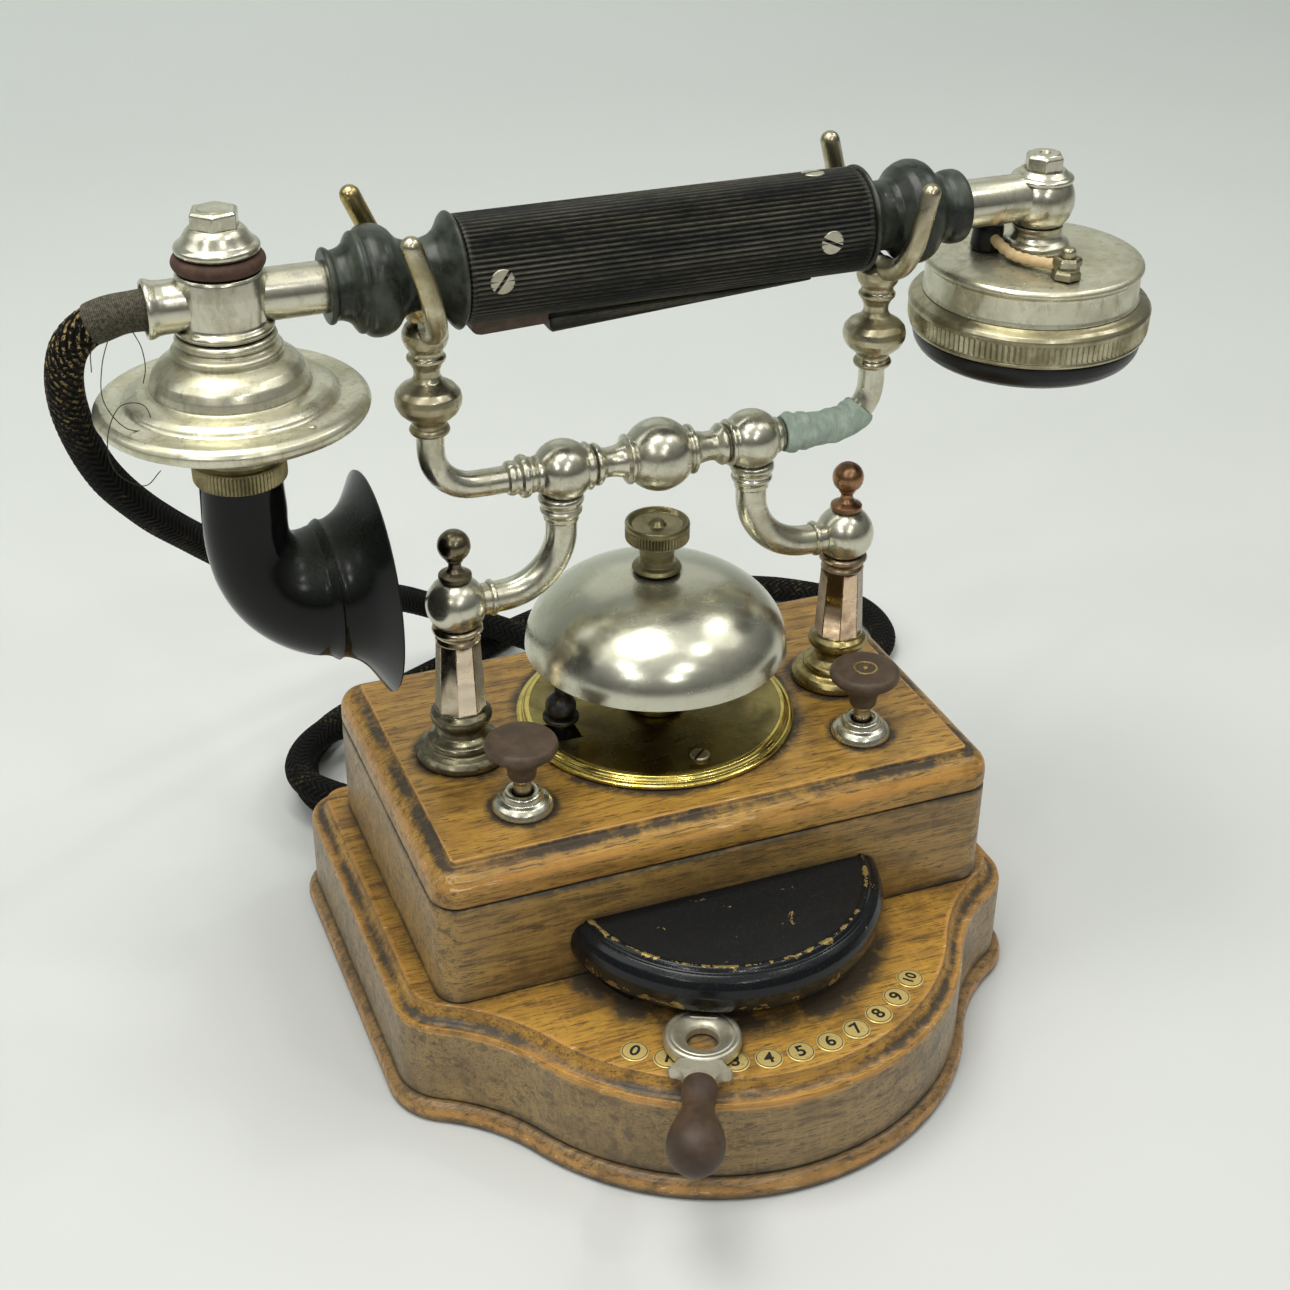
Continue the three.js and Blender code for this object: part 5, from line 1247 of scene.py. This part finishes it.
def hexagon(radius, bottom, top, place, turn=0.0):
    """An upright hexagon nut, eased at the top and dished in its middle."""
    x, y = place
    corners = [turn + math.pi / 3 * i for i in range(6)]
    rings = []
    for z, r in ((bottom, radius), (top - 0.9, radius), (top - 0.25, radius * 0.9), (top, radius * 0.8),
                 (top - 0.35, radius * 0.45)):
        rings.append([Vector((x + r * math.cos(a), y + r * math.sin(a), z)) for a in corners])
    return lofted(rings)


def make_transmitter():
    x = TRANSMITTER_X
    left = [[r, -v] for r, v in LEFT_END]
    handset("end_left", along_x(left, 96, fillet=0.5), EBONITE, "ebonite", "grip_end_left")
    pipe = along_x([[5.9, -128.5], [5.9, -136.0], [6.4, -137.0], [7.2, -137.1], [7.6, -136.5], [7.5, -135.6],
        [6.9, -134.2], [6.7, -132.4], [6.7, -91.8], [0.0, -91.8]], 72, fillet=0.3)
    plug = along_x([[0, -128.6], [6.2, -128.6], [6.2, -127.0], [0, -127.0]], 48)
    barrel = turned([[0, -7.9], [11.6, -7.9], [12.2, -7.4], [12.5, -6.6], [12.1, -5.9], [11.2, -5.4],
        [10.9, -4.6], [11.3, -1], [11.4, 3], [11.1, 7.2], [10.6, 8.1], [0, 8.1]], 96, place=(x, 0, HANDSET_Z),
        fillet=0.3)
    handset("neck_left", merged(pipe, plug, barrel), NICKEL, "nickel", "transmitter_neck")
    seal = upright(x, [[3, 239.8], [10.2, 239.8], [11.3, 240.6], [11.8, 241.9], [11.3, 243.2], [10.3, 243.9],
        [3, 244.0], [3, 239.8]], 72, fillet=0.8)
    handset("seal", seal, RUBBER, "red_rubber", "transmitter_seal")
    washer = upright(x, [[0, 243.8], [9.4, 243.8], [10.2, 244.3], [10.7, 245.1], [10.6, 246.0], [9.9, 246.6],
        [9.2, 247.0], [8.4, 248.2], [7.7, 249.4], [6.9, 250.3], [6.2, 250.8], [0, 251]], 80, fillet=0.4)
    bolt = hexagon(6.5, 250.6, 255.1, (x, 0), 0.25)
    cap = upright(x, [[0, 254.3], [4.4, 254.3], [4.6, 254.9], [3.6, 255.25], [0, 255.5]], 40, fillet=0.3)
    soften(handset("bolt_left", merged(washer, bolt, cap), NICKEL, "nickel", "transmitter_bolt", sharp=25), 0.25)
    case = upright(x, [[0, 223.5], [11.4, 223.5], [12.5, 223.1], [13.0, 222.1], [12.6, 221.2], [12.0, 220.7],
        [12.7, 220.1], [13.9, 219.7], [14.3, 218.8], [13.9, 217.9], [13.9, 217.3], [15.4, 216.7], [17.6, 215.5],
        [19.2, 213.7], [20.1, 211.6], [20.4, 209.9], [20.4, 209.2], [21.4, 208.9], [23.6, 208.7], [25.4, 208.2],
        [26.6, 207.3], [27.0, 206.6], [27.6, 206.1], [29.4, 206.0], [31.6, 206.1], [33.2, 205.9], [34.4, 205.2],
        [35.1, 204.1], [35.1, 202.9], [34.4, 201.8], [33.0, 201.1], [30.0, 199.4], [20, 195.4], [12.6, 192.6],
        [9.2, 192.2], [9.2, 194], [27.5, 200.8], [27.5, 204], [0, 206]], 160, fillet=0.4)
    handset("case_left", case, NICKEL_CASE, "nickel", "transmitter_case")
    ring = upright(x, [[9.1, 182.6], [11.6, 182.6], [12.2, 183.0], [12.3, 183.6], [12.3, 185.6], [12.3, 187.6],
        [12.0, 188.3], [11.0, 188.6], [10.7, 189.2], [10.7, 191.6], [9.1, 191.6], [9.1, 182.6]], 432,
        relief=knurled(182.9, 188.0, 72, 0.42), fillet=0.2)
    handset("ring_left", ring, OLIVE, "brass", "mouthpiece_ring")
    a = math.radians(-62)
    spot = (x + 30.6 * math.cos(a), 30.6 * math.sin(a), 206.0)
    screw = turned([[0, -0.4], [0.95, -0.4], [0.95, 0.35], [0.6, 0.6], [0, 0.65]], 20, place=spot, fillet=0.15)
    handset("rim_screws", screw, NICKEL, "nickel")


STATIONS_ALONG = [(-117.6, 182.2, 10.9), (-117.55, 176, 11.1), (-117.4, 165, 11.7), (-116.3, 158.6, 12.5),
    (-113.4, 152.6, 13.8), (-109.4, 148.6, 15.3), (-104.4, 146.0, 17.0), (-99.6, 145.1, 18.3),
    (-96.2, 145, 19.0), (-94.2, 145, 19.5), (-92, 145, 20.7), (-89.8, 145, 22.5), (-87.8, 145, 25.2),
    (-86.3, 145, 28.0), (-85.1, 145, 30.4), (-84.6, 145, 31.0)]

ELBOW_START, ELBOW_END = 7, 47    # lengths along the trumpet between which it turns


def trumpet_rings(stations):
    """Centre, upward direction, radius and length so far, for fine steps through (x, z, radius) stations."""
    centres = smooth_path([(x, 0, z) for x, z, _ in stations], 0.8)
    lengths = lengths_along([Vector((x, 0, z)) for x, z, _ in stations])
    total, rings, k = lengths[-1], [], 0
    for i, centre in enumerate(centres):
        at = total * i / (len(centres) - 1)
        while k < len(lengths) - 2 and lengths[k + 1] < at:
            k += 1
        t = min(1, max(0, (at - lengths[k]) / (lengths[k + 1] - lengths[k])))
        radius = stations[k][2] * (1 - t) + stations[k + 1][2] * t
        share = min(1, max(0, (at - ELBOW_START) / (ELBOW_END - ELBOW_START)))
        turn = math.pi / 2 * (1 - (share * 0.8 + 0.2 * share * share * (3 - 2 * share)))
        up = Vector((math.sin(turn), 0, math.cos(turn)))
        rings.append((centre, up, radius, at))
    return rings


def make_mouthpiece():
    frames = trumpet_rings(STATIONS_ALONG)
    total = frames[-1][3]
    seam = total - 13.0

    def ring(centre, up, radius):
        angles = [2 * math.pi * i / 96 for i in range(96)]
        return [centre + up * (radius * math.cos(a)) + Vector((0, radius * math.sin(a), 0)) for a in angles]

    outside, inside = [], []
    smoothed = [f[2] for f in frames]
    for _ in range(6):
        between = [(a + 2 * b + c) / 4 for a, b, c in zip(smoothed, smoothed[1:], smoothed[2:])]
        smoothed = [smoothed[0], *between, smoothed[-1]]
    for (centre, up, _, at), radius in zip(frames, smoothed):
        bead = 0.9 * math.exp(-(((at - seam) / 0.9) ** 2)) - 0.25 * math.exp(-(((at - seam + 2.6) / 0.6) ** 2))
        outside.append(ring(centre, up, radius + bead))
        inside.append(ring(centre, up, radius - (2.0 if at < total - 4 else 2.0 - 0.35 * (at - total + 4))))
    lip = ring(centre + Vector((0.45, 0, 0)), up, smoothed[-1] - 0.2)
    shape = skin([*outside, lip, *reversed(inside)], closed=True)
    piece("trumpet", shape, GLOSS, "mouthpiece", "black_gloss", "mouthpiece")


def make_receiver():
    x = RECEIVER_X
    handset("end_right", along_x(RIGHT_END, 96, fillet=0.5), EBONITE, "ebonite", "grip_end_right")
    pipe = along_x([[0, 89.8], [6.8, 89.8], [6.8, x - 8.6], [6.8, x - 5], [0, x - 5]], 72)
    ball = upright(x, globe(9.8, 230.4, 6, 126), 96, fillet=0)
    drop = upright(x, [[0, 215.4], [8.4, 215.4], [9.3, 216.0], [9.8, 217.0], [9.6, 218.2], [8.7, 218.9],
        [7.9, 219.3], [7.2, 220.4], [7.0, 221.6], [7.4, 223.2], [0, 223.4]], 80, fillet=0.35)
    handset("neck_right", merged(pipe, ball, drop), NICKEL, "nickel", "receiver_neck")
    washer = upright(x, [[0, 235.8], [8.3, 235.8], [8.9, 236.4], [8.9, 237.2], [8.2, 237.8], [7.6, 238.0],
        [6.8, 238.8], [6.2, 239.3], [0, 239.4]], 72, fillet=0.3)
    bolt = hexagon(5.7, 239.0, 243.7, (x, 0), 0.1)
    cap = upright(x, [[0, 243.0], [4.2, 243.0], [4.5, 243.5], [4.0, 243.9], [1.6, 243.9], [1.4, 243.4],
        [0, 243.4]], 40, fillet=0.2)
    soften(handset("bolt_right", merged(washer, bolt, cap), NICKEL, "nickel", "receiver_bolt", sharp=25), 0.25)
    case = upright(x, [[0, 215.3], [13, 215.25], [20, 215.1], [25.6, 214.8], [29.4, 214.35], [31.0, 213.9],
        [31.7, 213.2], [31.9, 212.4], [31.5, 211.7], [31.1, 211.2], [31.0, 210.4], [31.1, 204.2], [31.4, 203.4],
        [31.4, 202.9], [28.6, 202.9], [28.6, 210.6], [0, 210.6]], 160, fillet=0.35)
    handset("case_right", case, NICKEL_CASE, "nickel", "receiver_case")
    ring = upright(x, [[27, 191.9], [33.6, 191.9], [34.4, 192.4], [34.5, 193.0], [34.2, 193.5], [34.9, 193.9],
        [35.0, 194.6], [35.1, 196.4], [35.1, 198.0], [35.1, 198.9], [35.0, 199.3], [35.3, 199.7], [35.2, 200.5],
        [34.5, 201.5], [33.4, 202.1], [32.3, 202.5], [31.6, 202.9], [27, 202.9], [27, 191.9]], 780,
        relief=knurled(193.8, 199.1, 130, 0.5), fillet=0.2)
    handset("ring_right", ring, KNURL, "worn_nickel", "receiver_ring")
    cap_profile = [[6, 191.7], [6, 189.3], [7.2, 188.6], [12, 188.2], [19, 186.9], [24, 185.2], [27.2, 184.3],
        [29.6, 184.5], [31.6, 186.0], [32.9, 188.0], [33.4, 190.0], [33.4, 191.7], [6, 191.7]]
    handset("cap_ear", upright(x, cap_profile, 144, fillet=0.6), EARCAP, "ebonite", "ear_cap")
    spot = (113.2, -22.7)
    nuts = merged(
        hexagon(4.3, 215.2, 217.9, spot, 0.2), hexagon(4.2, 218.9, 221.4, spot, 0.6),
        turned([[0, 217.4], [3.4, 217.4], [3.7, 218.0], [3.4, 219.2], [0, 219.2]], 40, place=(*spot, 0), fillet=0.2),
        turned([[0, 221], [2.1, 221], [2.1, 223.1], [1.6, 223.9], [0, 224.2]], 36, place=(*spot, 0), fillet=0.3),
    )
    soften(handset("terminal", nuts, KNURL, "brass", "receiver_terminal", sharp=25), 0.2)
    boss = turned([[0, -4.6], [3.6, -4.6], [4.4, -3.6], [4.5, 1.6], [4.1, 3.8], [0, 4.2]], 48, fillet=0.6)
    lean = Matrix.Translation((104, 5.6, 219.4)) @ Matrix.Rotation(math.radians(8), 4, "Y")
    handset("boss", moved(boss, lean), EARCAP, "ebonite")
    wire = smooth_path([(104.0, 2.4, 219.6), (103.9, -1.6, 218.9), (105.0, -7.4, 217.6), (107.6, -13.8, 217.7),
        (110.6, -19.2, 218.3), (112.6, -22.0, 218.6)], 0.7)
    handset("wire", swept(wire, lambda share: 1.55 + 0.15 * math.sin(share * 60) * (share > 0.1), 28), TAN, "braid")


def make_talk_bar():
    def section(x, low, high, half=4.8):
        mid = (low + high) / 2
        points = [(-half, high), (half, high), (half, mid), (half * 0.8, low + 0.35), (half * 0.35, low),
            (-half * 0.35, low), (-half * 0.8, low + 0.35), (-half, mid)]
        return [Vector((x, y, HANDSET_Z + z)) for y, z in points]

    bar = lofted([section(-33.2, -18.6, -15.2, 4.3), section(-32.4, -19.6, -15.0), section(-29.5, -19.4, -14.8),
        section(42.4, -14.8, -13.4), section(43, -14.6, -13.5, 4.4)])
    soften(piece("bar_talk", bar, RIBBED, "talk_bar", "ebonite", "talk_bar", sharp=30), 0.3)
    strip = lofted([section(-54.4, -16.2, -10.6, 4.4), section(-53.6, -17.2, -10.4), section(-52, -17.6, -10.4),
        section(-33.8, -16.9, -10.4), section(-33.6, -16.4, -10.6, 4.4)])
    soften(handset("strip_talk", strip, FIBRE, "brown_fibre", sharp=30), 0.3)


GRIP_SCREWS = [((-49, -12, 232), 0.9), ((44, -12, 231), -0.45), ((44.5, 1.2, 245), 0.2)]
SCREW_SEAT = 13.85


def make_grip_screws():
    """Slotted heads on the sleeve: each points out from the grip's line towards its place."""
    for number, (place, turn) in enumerate(GRIP_SCREWS):
        centre = Vector((place[0], 0, HANDSET_Z))
        way = Vector(place) - centre
        way.normalize()
        rotation = Vector((0, 0, 1)).rotation_difference(way).to_matrix().to_4x4()
        matrix = Matrix.Translation(centre + way * SCREW_SEAT) @ rotation @ Matrix.Rotation(turn, 4, "Z")
        head = turned([[0, -2], [3.3, -2], [3.3, 0.2], [3.0, 0.35], [0, 0.5]], 48, fillet=0.15)
        work = handset(f"grip_screw_{number}", moved(head, matrix), NICKEL_MATT, "nickel")
        carve(work, moved(block(-4, 4, -0.45, 0.45, -0.9, 2, 0.01), matrix))


def make_whipping():
    line = smooth_path([(-130, 0, HANDSET_Z), (-137, 0, HANDSET_Z), (-143.4, 0.2, 231.1), (-148, 0.9, 229.7),
        (-149.6, 1.4, 229.0)], 0.4)
    sides = 48
    step = (line[1] - line[0]).length
    lengths = [i * step for i in range(len(line))]
    rings = swept(line, lambda share: 5.3 + 0.16 * math.sin(share * 9) - 0.1 * share, sides, ends="flat",
                  relief=lambda i, angle: 0.1 * math.sin(lengths[i] * 2 * math.pi / 0.8 + angle))
    work = handset("whipping", rings, THREAD, "braid", "cord_whipping", sharp=80)
    lay_uv(work, sides, lengths, 1)
    loops = [[(-146, -4.6, 229), (-149.6, -9, 222), (-150.6, -12, 214), (-146, -14, 207), (-140.4, -13, 206),
        (-141, -10.6, 211), (-146.6, -11, 212), (-151.2, -14, 205), (-150.4, -16, 197), (-144, -17, 192.6),
        (-139.6, -15, 195)], [(-141, -5.2, 228.6), (-139.6, -7.6, 225), (-139.4, -9, 220),
        (-140.4, -9.4, 216.4)], [(-144, -5.0, 231), (-147.6, -8, 230.6), (-151.6, -10, 227),
        (-152.4, -10.6, 221.6)]]
    threads = [swept(smooth_path(loop, 0.6), 0.13, 8) for loop in loops]
    handset("stray_threads", merged(*threads), THREAD, "braid")


make_grip()
make_transmitter()
make_mouthpiece()
make_receiver()
make_talk_bar()
make_grip_screws()
make_whipping()
gland = turned([[0, 0], [8, 0], [8.2, 0.6], [8.0, 1.8], [7.0, 2.6], [6.6, 3.4], [6.3, 5.4], [5.8, 6.0],
    [0, 6.0]], 72, fillet=0.3)
to_back = Matrix.Translation((-76, 64.2, 17)) @ Matrix.Rotation(-math.pi / 2, 4, "X")
piece("gland", moved(gland, to_back), EARCAP, "base", "ebonite", "cord_gland")

# ---- the CAD pieces that stay: mostly inside the box ----------------------------------------------------
INNER = {"contact_arc": BRASS, "selector_pivot": BRASS, "magnet_coil_front": SILK, "magnet_coil_rear": SILK,
    "magnet_yoke": IRON, "induction_coil": SILK, "terminal_strip": EBONITE, "contact_spring_left": BRASS,
    "contact_spring_right": BRASS, "transmitter_diaphragm": IRON}
for name, material in INNER.items():
    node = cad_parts[name]
    if not node.material_slots:
        node.data.materials.append(material)
    for holder in node.material_slots:
        holder.material = material
